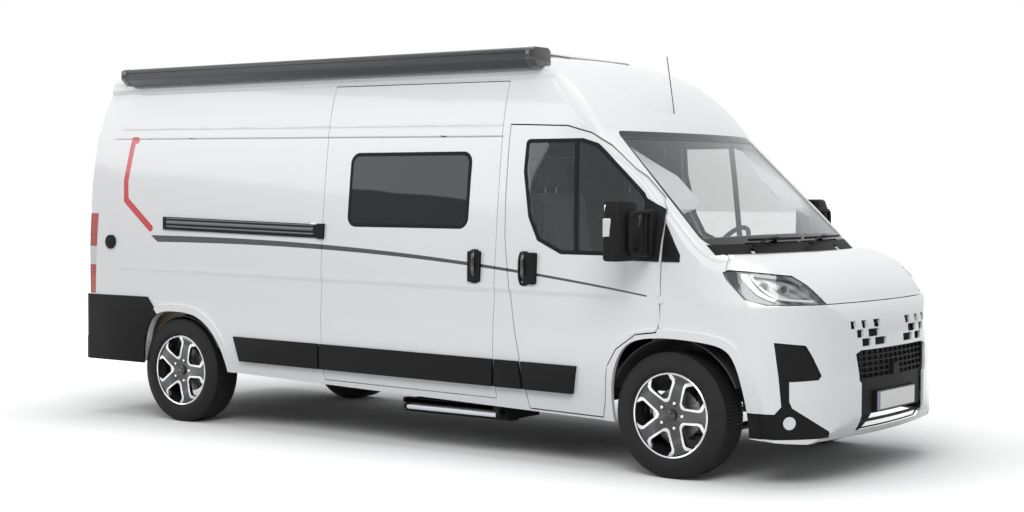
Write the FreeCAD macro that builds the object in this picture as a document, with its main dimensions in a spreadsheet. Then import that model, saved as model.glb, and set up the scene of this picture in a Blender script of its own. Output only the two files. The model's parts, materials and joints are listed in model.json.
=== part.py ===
import FreeCAD, Part
import math
import os
import Sketcher

# A panel van turned into a camper, built from named sizes in millimetres.
# +X is the front, +Y the left side, +Z up, and the ground is at zero.

DRIVING_SIZES = {
    # Axles, wheels and the body's main sizes
    "front_axle_x": 2051,
    "rear_axle_x": -1984,
    "half_width": 1010,
    "widest_half": 1024,
    "roof_height": 2500,
    "gutter_height": 2330,
    "gutter_half_width": 826,
    "roof_split_rise": 12,
    "nose_x": 2998,
    "nose_bow_radius": 4300,
    "rear_face_x": -2955,
    "rear_lean": 95,
    "rear_corner_radius": 90,
    "sill_front_height": 285,
    "sill_rear_height": 395,
    "far_reach": 6000,
    "overrun": 40,
    # Centre line of the cab, screen and bonnet
    "cap_start_x": 500,
    "header_x": 1655,
    "header_height": 1995,
    "cowl_x": 2395,
    "cowl_height": 1268,
    "bonnet_front_x": 2897,
    "bonnet_front_height": 1020,
    "nose_low_x": 2900,
    "nose_low_height": 238,
    # Softened edges of the cap, the pillars and the bonnet
    "cap_soft_width": 115,
    "cap_soft_height": 150,
    "pillar_soft_width": 40,
    "pillar_soft_height": 62,
    "soft_run_out": 60,
    "soft_run_out_rise": 45,
    # Walls and gaps
    "wall": 50,
    "roof_wall": 40,
    "sheet_wall": 14,
    "bay_wall": 28,
    "glass_thickness": 5,
    "door_gap": 8,
    "panel_gap": 5,
    "seat_gap": 0.3,
    "seal_width": 24,
    "clearance": 5,
    # Front door, its hinges and its window
    "door_rear_x": 864,
    "door_front_x": 1985,
    "door_low_height": 318,
    "door_top_height": 2038,
    "door_window_rear_x": 986,
    "door_window_front_x": 1905,
    "door_window_low_height": 1262,
    "door_window_top_height": 1950,
    "door_window_radius": 30,
    "divider_x": 1405,
    "divider_width": 34,
    "divider_lean": 45,
    "sail_rear_x": 1800,
    "sail_low_height": 1237,
    "sail_front_x": 2104,
    "sail_front_height": 1276,
    "sail_top_height": 1600,
    "hinge_line_y": 1012,
    "hinge_radius": 3.6,
    "hinge_knuckle": 40,
    "hinge_arm": 22,
    "door_hinge_low_height": 700,
    "door_hinge_high_height": 1000,
    # Sliding door and its window
    "slide_rear_x": -632,
    "slide_front_x": 806,
    "slide_low_height": 372,
    "slide_top_height": 2318,
    "slide_window_rear_x": -410,
    "slide_window_front_x": 585,
    "slide_window_low_height": 1400,
    "slide_window_top_height": 1880,
    "window_radius": 70,
    "rail_rear_x": -2141,
    "rail_front_x": -660,
    "rail_low_height": 1412,
    "rail_top_height": 1445,
    "rail_stand": 90,
    "bracket_front_x": -604,
    # Left side windows
    "rear_window_rear_x": -2500,
    "rear_window_front_x": -1750,
    "mid_window_rear_x": -700,
    "mid_window_front_x": 250,
    # Rear doors
    "rear_door_half": 820,
    "rear_door_low_height": 585,
    "rear_door_top_height": 2255,
    "rear_pane_inner_y": 130,
    "rear_pane_outer_y": 740,
    "rear_pane_low_height": 1450,
    "rear_pane_top_height": 1950,
    "rear_hinge_radius": 6,
    "rear_hinge_out": 10,
    "rear_hinge_low_height": 700,
    "rear_hinge_high_height": 1560,
    "rear_handle_length": 160,
    "rear_handle_height": 1120,
    # Wheel arches
    "front_arch_rear_x": 1672,
    "front_arch_front_x": 2549,
    "rear_arch_rear_x": -2322,
    "rear_arch_front_x": -1490,
    "arch_low_height": 250,
    "front_arch_top_height": 801,
    "rear_arch_top_height": 779,
    "flare_band": 95,
    "flare_edge": 48,
    "flare_rise": 13,
    "front_room_radius": 440,
    "rear_room_radius": 382,
    "front_room_depth": 480,
    "rear_room_depth": 395,
    "liner_wall": 6,
    # Screen, cowl and bonnet
    "screen_top_half": 792,
    "screen_low_half": 893,
    "screen_low_height": 1335,
    "screen_corner_radius": 45,
    "bonnet_rear_x": 2420,
    "bonnet_hinge_x": 2325,
    "bonnet_hinge_height": 1285,
    "bonnet_hinge_y": 540,
    "bonnet_arm_half": 18,
    "bonnet_pin_radius": 5,
    "bonnet_eye_radius": 8,
    "bonnet_arm_reach": 100,
    "cowl_outer_y": 885,
    "cowl_low_height": 1150,
    # Bumper, lamps and grille, in the corner's own direction where named corner
    "wing_split_x": 2620,
    "wing_split_low_x": 2432,
    "wing_split_height": 1009,
    "wing_split_low_height": 749,
    "lamp_rear_corner": 996,
    "lamp_front_corner": 1561,
    "lamp_low_height": 1007,
    "lamp_top_height": 1195,
    "insert_rear_corner": 1091,
    "insert_front_corner": 1565,
    "insert_low_height": 274,
    "insert_top_height": 808,
    "insert_recess": 8,
    "corner_inner": 1450,
    "corner_outer": 2800,
    "fog_corner": 1318,
    "fog_height": 365,
    "fog_radius": 36,
    "grille_half": 474,
    "grille_top_height": 746,
    "grille_low_height": 574,
    "grille_recess": 24,
    "grille_stay_x": 2936,
    "grille_stay_width": 30,
    "grille_stay_height": 20,
    "panel_half": 430,
    "panel_low_height": 385,
    "intake_low_height": 290,
    "slat_height": 9,
    "slat_count": 5,
    "upright_width": 8,
    "upright_count": 7,
    "sensor_width": 74,
    "sensor_height": 62,
    "brick_top_height": 912,
    "brick_row_height": 44,
    "brick_row_pitch": 51,
    "plate_width": 520,
    "plate_height": 110,
    "plate_thickness": 2,
    "plate_centre_height": 445,
    "plate_frame": 6,
    # Mirrors
    "mirror_rear_x": 1795,
    "mirror_front_x": 1950,
    "mirror_inner_y": 1125,
    "mirror_outer_y": 1320,
    "mirror_low_height": 1242,
    "mirror_top_height": 1587,
    "mirror_arm": 30,
    "mirror_arm_x": 1930,
    "mirror_split_height": 1330,
    # Mouldings, handles and trims
    "moulding_low_rear": 466,
    "moulding_low_front": 440,
    "moulding_height": 166,
    "moulding_rear_x": -1421,
    "moulding_front_x": 1419,
    "moulding_slant": 60,
    "moulding_gap": 12,
    "handle_width": 92,
    "handle_height": 190,
    "handle_centre_height": 1172,
    "handle_stand": 26,
    "slide_handle_x": 655,
    "door_handle_x": 1031,
    "cap_x": -2694,
    "cap_height": 1257,
    "cap_radius": 50,
    # Rear bumper and lamps
    "bumper_rear_x": -2998,
    "bumper_front_x": -2290,
    "bumper_half": 1022,
    "bumper_low_height": 398,
    "bumper_mid_height": 560,
    "bumper_top_height": 872,
    "bumper_wall": 17,
    "tail_lamp_inner_y": 866,
    "tail_lamp_low_height": 880,
    "tail_lamp_top_height": 1463,
    "tail_lamp_length": 105,
    "stop_lamp_half": 130,
    "stop_lamp_height": 22,
    # Roof pieces
    "awning_rear_x": -2640,
    "awning_front_x": 1050,
    "awning_near_y": -945,
    "awning_low_height": 2385,
    "awning_depth": 190,
    "awning_height": 122,
    "deflector_rear_x": 490,
    "deflector_front_x": 943,
    "deflector_half": 350,
    "deflector_top_height": 2545,
    "vent_rear_x": -400,
    "vent_length": 400,
    "vent_half": 200,
    "vent_wall": 40,
    "vent_top_height": 2530,
    "vent_lid_height": 30,
    "vent_hinge_out": 12,
    "vent_pin_radius": 5,
    "aerial_foot_x": 1560,
    "aerial_foot_y": -130,
    "aerial_foot_height": 2085,
    "aerial_rake": 70,
    "aerial_length": 390,
    "aerial_radius": 3,
    # Floor, firewall and underside
    "floor_height": 600,
    "floor_wall": 60,
    "floor_half": 945,
    "floor_rear_x": -2845,
    "firewall_x": 1900,
    "firewall_wall": 30,
    "shelf_height": 1060,
    "shelf_wall": 20,
    "shelf_front_x": 2270,
    "shelf_half": 850,
    "rail_inner_y": 400,
    "rail_width": 70,
    "rail_depth": 110,
    "chassis_rear_x": -2830,
    "hitch_wall": 12,
    "hitch_bolt_radius": 6.5,
    "hitch_bolt_spread": 600,
    "hitch_bolt_rise": 60,
    "front_rail_inner_y": 380,
    "front_rail_width": 60,
    "front_rail_low": 400,
    "front_rail_height": 80,
    "front_rail_front_x": 2840,
    "tow_socket_radius": 12,
    "tow_socket_depth": 70,
    "engine_rear_x": 2160,
    "engine_front_x": 2640,
    "engine_half": 340,
    "engine_low": 330,
    "engine_top": 920,
    "radiator_x": 2760,
    "radiator_wall": 60,
    "radiator_top": 850,
    "tank_top_gap": 0.3,
    "tank_low": 300,
    "water_tank_rear_x": 330,
    "water_tank_front_x": 1150,
    "waste_tank_rear_x": -1180,
    "waste_tank_front_x": -420,
    "tank_left_y": 200,
    "tank_right_y": -380,
    "tank_corner": 40,
    "pipe_radius": 26,
    "pipe_y": 300,
    "pipe_height": 455,
    "pipe_rear_x": -2650,
    "silencer_radius": 70,
    "silencer_rear_x": -1300,
    "silencer_front_x": -640,
    "step_rear_x": 40,
    "step_front_x": 810,
    "step_outer_y": -950,
    "step_inner_y": -600,
    "step_low": 245,
    "step_thickness": 30,
    "step_housing_outer_y": -900,
    "step_housing_inner_y": -560,
    "step_housing_wall": 18,
    "step_hanger": 40,
    "step_front_height": 33,
    # Steering, axles and wheels
    "kingpin_top_y": 600,
    "kingpin_top_height": 1001.7,
    "kingpin_low_y": 783,
    "kingpin_low_height": 225.3,
    "strut_radius": 22,
    "strut_ball_radius": 18,
    "spring_radius": 58,
    "spring_low_height": 640,
    "spring_top_height": 930,
    "tower_height": 1002,
    "tower_half": 60,
    "lower_arm_wall": 20,
    "carrier_half": 40,
    "carrier_inner_y": 700,
    "carrier_outer_y": 757,
    "carrier_low": 235,
    "carrier_top": 470,
    "leaf_half_length": 655,
    "leaf_thickness": 24,
    "leaf_inner_y": 480,
    "leaf_width": 60,
    "leaf_eye_height": 440,
    "tyre_radius": 362,
    "tread_width": 180,
    "rim_radius": 247,
    "rim_width": 215,
    "rim_barrel": 14,
    "rim_lip": 9,
    "front_face_y": 992,
    "rear_face_y": 983,
    "face_set_back": 16,
    "spoke_depth": 44,
    "window_inner_radius": 92,
    "window_outer_radius": 205,
    "hub_radius": 66,
    "hub_bore_radius": 34,
    "disc_radius": 150,
    "disc_thickness": 24,
    "disc_set_back": 120,
    # Cab and living area
    "dash_rear_x": 1640,
    "dash_low_height": 900,
    "dash_top_height": 1214,
    "wheel_x": 1590,
    "wheel_y": 480,
    "wheel_height": 1250,
    "wheel_ring_radius": 190,
    "wheel_grip_radius": 15,
    "wheel_hub_radius": 62,
    "wheel_hub_depth": 34,
    "wheel_spoke_radius": 12,
    "column_radius": 42,
    "seat_rear_x": 960,
    "seat_front_x": 1500,
    "seat_inner_y": 235,
    "seat_outer_y": 745,
    "seat_base_height": 860,
    "seat_cushion": 150,
    "seat_back_height": 640,
    "seat_back_thickness": 130,
    "seat_back_rake": 130,
    "headrest_height": 200,
    "headrest_width": 280,
    "headrest_thickness": 100,
    "soft_corner": 40,
    "bed_rear_x": -2820,
    "bed_front_x": -1480,
    "bed_half": 880,
    "bed_height": 880,
    "bed_board": 40,
    "bed_locker": 330,
    "mattress_thickness": 110,
    "kitchen_rear_x": -1400,
    "kitchen_front_x": -150,
    "kitchen_inner_y": 400,
    "kitchen_height": 1330,
    "worktop": 34,
    "worktop_over": 20,
    "sink_radius": 150,
    "sink_depth": 130,
}


class Size(float):
    """A number that also knows the spreadsheet expression that it comes from."""

    def __new__(cls, value, text):
        size = float.__new__(cls, value)
        size.text = text
        return size

    def join(self, other, sign, value, swap=False):
        left, right = self.text, words(other)
        if swap:
            left, right = right, left
        return Size(value, f"({left} {sign} {right})")

    def __add__(self, other):
        return self.join(other, "+", float(self) + float(other))

    def __radd__(self, other):
        return self.join(other, "+", float(other) + float(self), True)

    def __sub__(self, other):
        return self.join(other, "-", float(self) - float(other))

    def __rsub__(self, other):
        return self.join(other, "-", float(other) - float(self), True)

    def __mul__(self, other):
        return self.join(other, "*", float(self) * float(other))

    def __rmul__(self, other):
        return self.join(other, "*", float(other) * float(self), True)

    def __truediv__(self, other):
        return self.join(other, "/", float(self) / float(other))

    def __neg__(self):
        return Size(-float(self), f"(-1 * {self.text})")


def words(value):
    return value.text if isinstance(value, Size) else repr(float(value))


doc = FreeCAD.newDocument("CamperVan")
sheet = doc.addObject("Spreadsheet::Sheet", "Sizes")
for row, (name, value) in enumerate(DRIVING_SIZES.items(), start=1):
    sheet.set(f"A{row}", name)
    sheet.set(f"B{row}", str(value))
    sheet.setAlias(f"B{row}", name)
doc.recompute()


class Sizes:
    """Reads each named size back from the spreadsheet."""

    def __getattr__(self, name):
        return Size(float(sheet.get(name)), f"Sizes.{name}")


S = Sizes()
V = FreeCAD.Vector
SIDES = {"left": 1, "right": -1}
X_AXIS, Y_AXIS, Z_AXIS = V(1, 0, 0), V(0, 1, 0), V(0, 0, 1)
FAR = S.far_reach
OUT = S.widest_half + S.overrun
IN = S.half_width * 0.5


# Plain shape helpers

def block(x0, x1, y0, y1, z0, z1):
    low = V(min(x0, x1), min(y0, y1), min(z0, z1))
    return Part.makeBox(abs(x1 - x0), abs(y1 - y0), abs(z1 - z0), low)


def rod(start, end, radius):
    way = end - start
    return Part.makeCylinder(radius, way.Length, start, way)


def prism(points, way):
    return Part.Face(Part.makePolygon(points + points[:1])).extrude(way)


def side_prism(outline, y0, y1):
    """A solid whose side view is the outline of (x, z) points."""
    return prism([V(x, y0, z) for x, z in outline], V(0, y1 - y0, 0))


def front_prism(outline, x0, x1):
    """A solid whose front view is the outline of (y, z) points."""
    return prism([V(x0, y, z) for y, z in outline], V(x1 - x0, 0, 0))


def plan_prism(outline, z0, z1):
    """A solid whose plan is the outline of (x, y) points."""
    return prism([V(x, y, z0) for x, y in outline], V(0, 0, z1 - z0))


CORNER_ALONG = V(1, -1, 0).normalize()
CORNER_WAY = V(1, 1, 0).normalize()


def corner_prism(outline, inner, reach):
    """A solid through the left front corner, drawn as (place along the corner, z)."""
    points = [CORNER_ALONG * u + CORNER_WAY * inner + Z_AXIS * z for u, z in outline]
    return prism(points, CORNER_WAY * (reach - inner))


def in_box(shares, x0, x1, z0, z1):
    """Points given as shares of a box's width and height."""
    return [(x0 + (x1 - x0) * u, z0 + (z1 - z0) * v) for u, v in shares]


def rounded(outline, radius, lift=V(0, 0, 0)):
    """The outline's wire in the XZ plane with each corner rounded by an arc."""
    points = [V(x, 0, z) + lift for x, z in outline]
    count = len(points)
    starts, middles, ends = [], [], []
    for i, corner in enumerate(points):
        back = (points[i - 1] - corner).normalize()
        ahead = (points[(i + 1) % count] - corner).normalize()
        half = back.getAngle(ahead) / 2
        reach = radius / math.tan(half)
        starts.append(corner + back * reach)
        ends.append(corner + ahead * reach)
        middles.append(corner + (back + ahead).normalize() * (radius / math.sin(half) - radius))
    edges = []
    for i in range(count):
        edges.append(Part.Arc(starts[i], middles[i], ends[i]).toShape())
        after = starts[(i + 1) % count]
        if (after - ends[i]).Length > S.seat_gap:
            edges.append(Part.LineSegment(ends[i], after).toShape())
    return Part.Wire(edges)


def rounded_prism(outline, radius, y0, y1):
    return Part.Face(rounded(outline, radius, V(0, y0, 0))).extrude(V(0, y1 - y0, 0))


def arch_wire(outline, y):
    """A smooth arch through the outline's points, closed by its straight foot."""
    points = [V(x, y, z) for x, z in outline]
    return Part.Wire([spline(points), Part.LineSegment(points[-1], points[0]).toShape()])


def arch_prism(outline, y0, y1):
    return Part.Face(arch_wire(outline, y0)).extrude(V(0, y1 - y0, 0))


def offset_outline(outline, distance):
    """The outline moved outwards by the distance, or inwards if negative."""
    count = len(outline)
    area = sum(outline[i - 1][0] * outline[i][1] - outline[i][0] * outline[i - 1][1]
               for i in range(count))
    turn = 1 if area > 0 else -1
    lines = []
    for i in range(count):
        a, b = outline[i - 1], outline[i]
        dx, dz = b[0] - a[0], b[1] - a[1]
        length = math.hypot(dx, dz)
        lines.append((a[0] + turn * dz / length * distance, a[1] - turn * dx / length * distance, dx, dz))
    moved = []
    for i in range(count):
        x1, z1, dx1, dz1 = lines[i]
        x2, z2, dx2, dz2 = lines[(i + 1) % count]
        cross = dx1 * dz2 - dz1 * dx2
        step = ((x2 - x1) * dz2 - (z2 - z1) * dx2) / cross
        moved.append((x1 + dx1 * step, z1 + dz1 * step))
    return moved


def mirrored(shape):
    return shape.mirror(V(0, 0, 0), Y_AXIS)


def on_side(shape, side):
    """The left side's shape, or its mirror image for the right side."""
    return shape if side > 0 else mirrored(shape)


def both(shape):
    """The left half joined to its mirror image."""
    return biggest(shape.fuse(mirrored(shape)).removeSplitter())


def pair(shape):
    return [shape, mirrored(shape)]


def biggest(shape):
    return max(shape.Solids, key=lambda s: s.Volume)


def carve(shape, *tools):
    """The shape less each tool in turn."""
    for tool in tools:
        shape = shape.cut(tool)
    return shape


def fuse(*shapes):
    return shapes[0].fuse(list(shapes[1:])).removeSplitter()


def spline(points):
    curve = Part.BSplineCurve()
    curve.interpolate(points)
    return curve.toShape()


def eased(points, start_way, end_way):
    """A smooth curve through the points with the given directions at its ends."""
    curve = Part.BSplineCurve()
    curve.interpolate(points, InitialTangent=start_way, FinalTangent=end_way)
    return curve.toShape()


def straight(a, b):
    return Part.LineSegment(a, b).toShape()


def chain(points):
    return [straight(a, b) for a, b in zip(points, points[1:])]


# Feature helpers: each sub-part is an object of the document with its own label

subparts = []


def keep(label, shape):
    feature = doc.addObject("Part::Feature", label)
    feature.Label = label
    feature.Shape = Part.Compound(shape) if isinstance(shape, list) else shape
    subparts.append(feature)
    return feature


def bind(feature, **sizes):
    for name, size in sizes.items():
        feature.setExpression(name, words(size))


def keep_turned(label, outline, place):
    """A PartDesign body turned about its Y axis from a sketch of (radius, y) corners."""
    body = doc.addObject("PartDesign::Body", label)
    body.Label = label
    sketch = body.newObject("Sketcher::SketchObject", label + "_section")
    plane = [f for f in body.Origin.OriginFeatures if f.Role == "XY_Plane"][0]
    sketch.AttachmentSupport = [(plane, "")]
    sketch.MapMode = "FlatFace"
    draw_outline(sketch, outline)
    turned = body.newObject("PartDesign::Revolution", label + "_turned")
    turned.Profile = sketch
    turned.ReferenceAxis = (sketch, ["V_Axis"])
    turned.Angle = 360
    bind(body, **{f"Placement.Base.{k}": v for k, v in zip("xyz", place)})
    subparts.append(body)
    return body


def draw_outline(sketch, outline):
    """Closed straight lines whose corners are bound to the spreadsheet."""
    count = len(outline)
    for i, (r, y) in enumerate(outline):
        after = outline[(i + 1) % count]
        sketch.addGeometry(Part.LineSegment(V(r, y, 0), V(after[0], after[1], 0)), False)
    for i in range(count):
        sketch.addConstraint(Sketcher.Constraint("Coincident", i, 2, (i + 1) % count, 1))
    for i, corner in enumerate(outline):
        for kind, size in zip(("DistanceX", "DistanceY"), corner):
            where = sketch.addConstraint(Sketcher.Constraint(kind, -1, 1, i, 1, float(size)))
            sketch.setExpression(f"Constraints[{where}]", words(size))


# The body's outer form, made as a left half

SIDE_SHARES = [  # (share of the gutter's height, share of the half-width)
    (0.095, 0.940),
    (0.175, 0.974),
    (0.258, 0.995),
    (0.343, 1.000),
    (0.515, 0.988),
    (0.687, 0.955),
    (0.816, 0.921),
    (0.903, 0.886),
]
CROWN_SHARE = 0.978
SHOULDER_SHARE = 0.900
GUTTER_BEND_SHARE = 0.985


def half_section(x, inset, roof_inset):
    """The left half of the body's cross-section at x, drawn in by the inset."""
    side = [V(x, S.half_width * w - inset, S.gutter_height * z) for z, w in SIDE_SHARES]
    side.append(V(x, S.gutter_half_width - inset, S.gutter_height))
    top = S.roof_height - roof_inset
    shoulder = V(x, (S.gutter_half_width - inset) * SHOULDER_SHARE, top * CROWN_SHARE)
    crown = V(x, 0, top)
    bend_y = side[-1].y * GUTTER_BEND_SHARE + shoulder.y * (1 - GUTTER_BEND_SHARE)
    bend = V(x, bend_y, (side[-1].z + shoulder.z) / 2)
    arc = Part.Arc(shoulder, crown, V(x, -shoulder.y, shoulder.z)).toShape().Curve
    turn = math.asin(shoulder.y / arc.Radius) / 2
    half_way = V(x, arc.Radius * math.sin(turn), arc.Center.z + arc.Radius * math.cos(turn))
    base = V(x, 0, side[0].z)
    return Part.Wire([straight(base, side[0]), spline(side),
                      Part.Arc(side[-1], bend, shoulder).toShape(),
                      Part.Arc(shoulder, half_way, crown).toShape(), straight(crown, base)])


# Plan of the nose at rising heights: share of the roof's height, then for each point
# (share of the half-width, share of the way from the origin to the nose)
PLAN_SHARES = [
    (0.072, [(1.010, 0.500), (1.008, 0.750), (0.990, 0.874), (0.850, 0.934), (0.594, 0.978),
             (0.297, 0.995)]),
    (0.248, [(1.010, 0.500), (1.008, 0.750), (0.990, 0.874), (0.850, 0.934), (0.594, 0.978),
             (0.297, 0.995)]),
    (0.400, [(1.010, 0.500), (1.000, 0.734), (0.950, 0.861), (0.800, 0.929), (0.594, 0.963),
             (0.297, 0.991)]),
    (0.472, [(1.010, 0.434), (0.985, 0.700), (0.880, 0.854), (0.740, 0.914), (0.545, 0.954),
             (0.297, 0.984)]),
    (0.536, [(1.006, 0.367), (0.975, 0.634), (0.900, 0.784), (0.700, 0.884), (0.500, 0.934),
             (0.297, 0.974)]),
    (0.800, [(0.965, 0.300), (0.880, 0.500), (0.780, 0.700), (0.640, 0.834), (0.460, 0.900),
             (0.297, 0.961)]),
    (1.024, [(0.965, 0.234), (0.830, 0.467), (0.720, 0.700), (0.600, 0.834), (0.440, 0.900),
             (0.280, 0.954)]),
]


def plan_points(level, inset):
    height_share, places = level
    height = S.roof_height * height_share
    return [V(S.nose_x * u - inset, S.half_width * w - inset, height) for w, u in places]


def half_plan(level, inset):
    """The left half of the body's plan at one level."""
    front = plan_points(level, inset)
    height = front[0].z
    tip = V(S.nose_x - inset, 0, height)
    corner = S.rear_corner_radius
    rear_x = S.rear_face_x + inset
    turn = corner * (1 - math.sqrt(0.5))
    behind = V(rear_x + corner, front[0].y, height)
    mid = V(rear_x + turn, front[0].y - turn, height)
    inner = V(rear_x, front[0].y - corner, height)
    centre = V(rear_x, 0, height)
    return Part.Wire([straight(centre, inner), Part.Arc(inner, mid, behind).toShape(),
                      straight(behind, front[0]), eased(front + [tip], X_AXIS, -Y_AXIS),
                      straight(tip, centre)])


CAP_SHARES = [0, 0.22, 0.43, 0.61, 0.74, 0.85, 0.93, 1]
BONNET_SHARES = [  # (share of the bonnet's length, share of its fall)
    (0.110, -0.060), (0.329, 0.040), (0.568, 0.222), (0.767, 0.476), (0.906, 0.734)]
NOSE_SHARES = [  # (share of the nose's height, share of the way from its top to its tip)
    (0.930, 0.376), (0.834, 0.644), (0.668, 0.782), (0.463, 0.941), (0.309, 1.000),
    (0.182, 0.921), (0.066, 0.525)]
CAP_POWER = 3


def cap_place(share):
    """A point of the roof cap's centre line, which falls ever faster to the header."""
    fall = (S.roof_height - S.header_height) * share ** CAP_POWER
    return V(S.cap_start_x + (S.header_x - S.cap_start_x) * share, 0, S.roof_height - fall)


def bonnet_place(x_share, fall_share):
    fall = S.cowl_height - S.bonnet_front_height
    return V(S.cowl_x + (S.bonnet_front_x - S.cowl_x) * x_share, 0, S.cowl_height - fall * fall_share)


def nose_place(z_share, x_share):
    height = S.bonnet_front_height - S.nose_low_height
    return V(S.bonnet_front_x + (S.nose_x - S.bonnet_front_x) * x_share, 0,
             S.nose_low_height + height * z_share)


BOW_ANGLE = 27


def front_air(shift, drop):
    """What lies ahead of and above the centre profile, turned about a far upright axis."""
    cap = [cap_place(share) for share in CAP_SHARES]
    cap[0].z += S.seat_gap
    bonnet = [V(S.cowl_x, 0, S.cowl_height)] + [bonnet_place(u, v) for u, v in BONNET_SHARES]
    bonnet.append(V(S.bonnet_front_x, 0, S.bonnet_front_height))
    nose = bonnet[-1:] + [nose_place(v, u) for v, u in NOSE_SHARES]
    nose.append(V(S.nose_low_x, 0, S.nose_low_height))
    end_way = V(S.header_x - S.cap_start_x, 0, CAP_POWER * (S.header_height - S.roof_height))
    edges = [eased(cap, X_AXIS, end_way), straight(cap[-1], bonnet[0]), spline(bonnet), spline(nose)]
    far_x = S.nose_x + FAR
    edges += chain([nose[-1], V(nose[-1].x, 0, 0), V(far_x, 0, 0), V(far_x, 0, FAR),
                    V(cap[0].x, 0, FAR), cap[0]])
    face = Part.Face(Part.Wire(edges))
    axis = V(S.nose_x - S.nose_bow_radius, 0, 0)
    face.rotate(axis, Z_AXIS, -1)
    air = face.revolve(axis, Z_AXIS, BOW_ANGLE)
    air.translate(V(-shift, 0, -drop))
    return air


def between(x, points):
    """The value at x on straight lines through (x, value) points."""
    if x <= points[0][0]:
        return points[0][1]
    for (a, low), (b, high) in zip(points, points[1:]):
        if x <= b:
            return low + (high - low) * (x - a) / (b - a)
    return points[-1][1]


def top_height(x):
    """The centre profile's height at x."""
    share = (x - S.cap_start_x) / (S.header_x - S.cap_start_x)
    if share <= 0:
        return S.roof_height
    if share <= 1:
        return cap_place(share).z
    line = [(S.header_x, S.header_height), (S.cowl_x, S.cowl_height)]
    line += [(p.x, p.z) for p in (bonnet_place(u, v) for u, v in BONNET_SHARES)]
    return between(x, line + [(S.bonnet_front_x, S.bonnet_front_height)])


def section_half_width(z):
    rows = [(S.gutter_height * share, S.half_width * w) for share, w in SIDE_SHARES]
    return between(z, rows + [(S.gutter_height, S.gutter_half_width)])


def plan_half_width(x, z):
    rows = []
    for level in PLAN_SHARES:
        points = plan_points(level, 0)
        rows.append((points[0].z, between(x, [(p.x, p.y) for p in points])))
    return between(z, rows)


def edge_place(x):
    """Where the cab's top surface meets its side at x."""
    y = S.half_width
    for _ in range(8):
        z = top_height(x + y * y / (2 * S.nose_bow_radius))
        y = min(section_half_width(z), plan_half_width(x, z))
    return y, z


# Stations of the softened edge: share of the way from the cap's start to the nose, and how
# much of the cap's and the pillar's softening each takes
SOFT_STATIONS = [
    (0.150, -0.20, 0), (0.230, 0.45, 0), (0.290, 0.85, 0), (0.350, 1, 0), (0.400, 1, 0), (0.435, 0.75, 0.25),
    (0.470, 0.35, 0.70), (0.520, 0, 1), (0.600, 0, 1), (0.680, 0, 1), (0.730, 0, 0.6), (0.760, 0, 0.3)]


def soft_station(x_share, cap, pillar):
    """One section of the cutter that rounds the edge between the top and the side."""
    x = S.cap_start_x + (S.nose_x - S.cap_start_x) * x_share
    y, z = edge_place(x)
    width = S.cap_soft_width * cap + S.pillar_soft_width * pillar
    height = S.cap_soft_height * cap + S.pillar_soft_height * pillar
    y_in = y - width
    top = V(x, y_in, top_height(x + y_in * y_in / (2 * S.nose_bow_radius)))
    low_z = z - height
    low = V(x, min(section_half_width(low_z), plan_half_width(x, low_z)), low_z)
    middle = (top + low) * 0.5 + (V(x, y, z) - (top + low) * 0.5) * SOFT_FULLNESS_SHARE
    far_y = S.half_width + S.cap_soft_width + S.cap_soft_height
    far_z = z + S.cap_soft_width + S.cap_soft_height
    out = low + V(0, S.soft_run_out_rise, -S.soft_run_out)
    up = top + V(0, -S.soft_run_out, S.soft_run_out_rise)
    return Part.Wire([Part.Arc(top, middle, low).toShape()]
                     + chain([low, out, V(x, far_y, out.z), V(x, far_y, far_z), V(x, up.y, far_z), up, top]))


SOFT_FULLNESS_SHARE = 0.46


def soft_cutter(inset, shift, drop):
    cutter = Part.makeLoft([soft_station(*station) for station in SOFT_STATIONS], True, False)
    cutter.translate(V(-shift, -inset, -drop))
    return cutter


def sill_height(x):
    """The height of the body's bottom edge, which rises a little to the rear."""
    share = (S.front_axle_x - x) / (S.front_axle_x - S.rear_axle_x)
    return S.sill_front_height + (S.sill_rear_height - S.sill_front_height) * share


SILL_NOSE_SHARE = 0.8


def below_sills():
    x0, x1 = S.bumper_rear_x - S.overrun, S.nose_x + S.overrun
    bend_x = S.front_arch_front_x
    outline = [(x0, 0), (x1, 0), (x1, S.sill_front_height * SILL_NOSE_SHARE),
               (bend_x, sill_height(bend_x)), (x0, sill_height(x0))]
    return side_prism(outline, -OUT, OUT)


REAR_LEAN_SHARES = [(0.58, 0), (0.86, 0.35), (1, 1)]


def rear_air(shift):
    """What lies behind the rear doors, which lean in towards the roof."""
    face_x = S.rear_face_x + shift
    lean = [(face_x + S.rear_lean * u, S.gutter_height * v) for v, u in REAR_LEAN_SHARES]
    top = (lean[-1][0] + S.rear_lean * (S.roof_height - S.gutter_height) / S.gutter_height,
           S.roof_height + S.overrun)
    back = face_x - S.far_reach
    return side_prism([(back, 0), (face_x, 0)] + lean + [top, (back, S.roof_height + S.overrun)], -OUT, OUT)


def half_form(inset, roof_inset, shift, drop):
    """The left half of the body as a solid, drawn in by the given walls."""
    start = S.rear_face_x + inset
    section = Part.Face(half_section(start, inset, roof_inset)).extrude(V(S.nose_x - start, 0, 0))
    plan = Part.makeLoft([half_plan(level, inset) for level in PLAN_SHARES], True, True)
    form = section.common(plan)
    form = carve(form, front_air(shift, drop), rear_air(inset), soft_cutter(inset, shift, drop))
    return biggest(form)


# Arches: outlines seen from the side, as shares of their boxes

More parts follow.
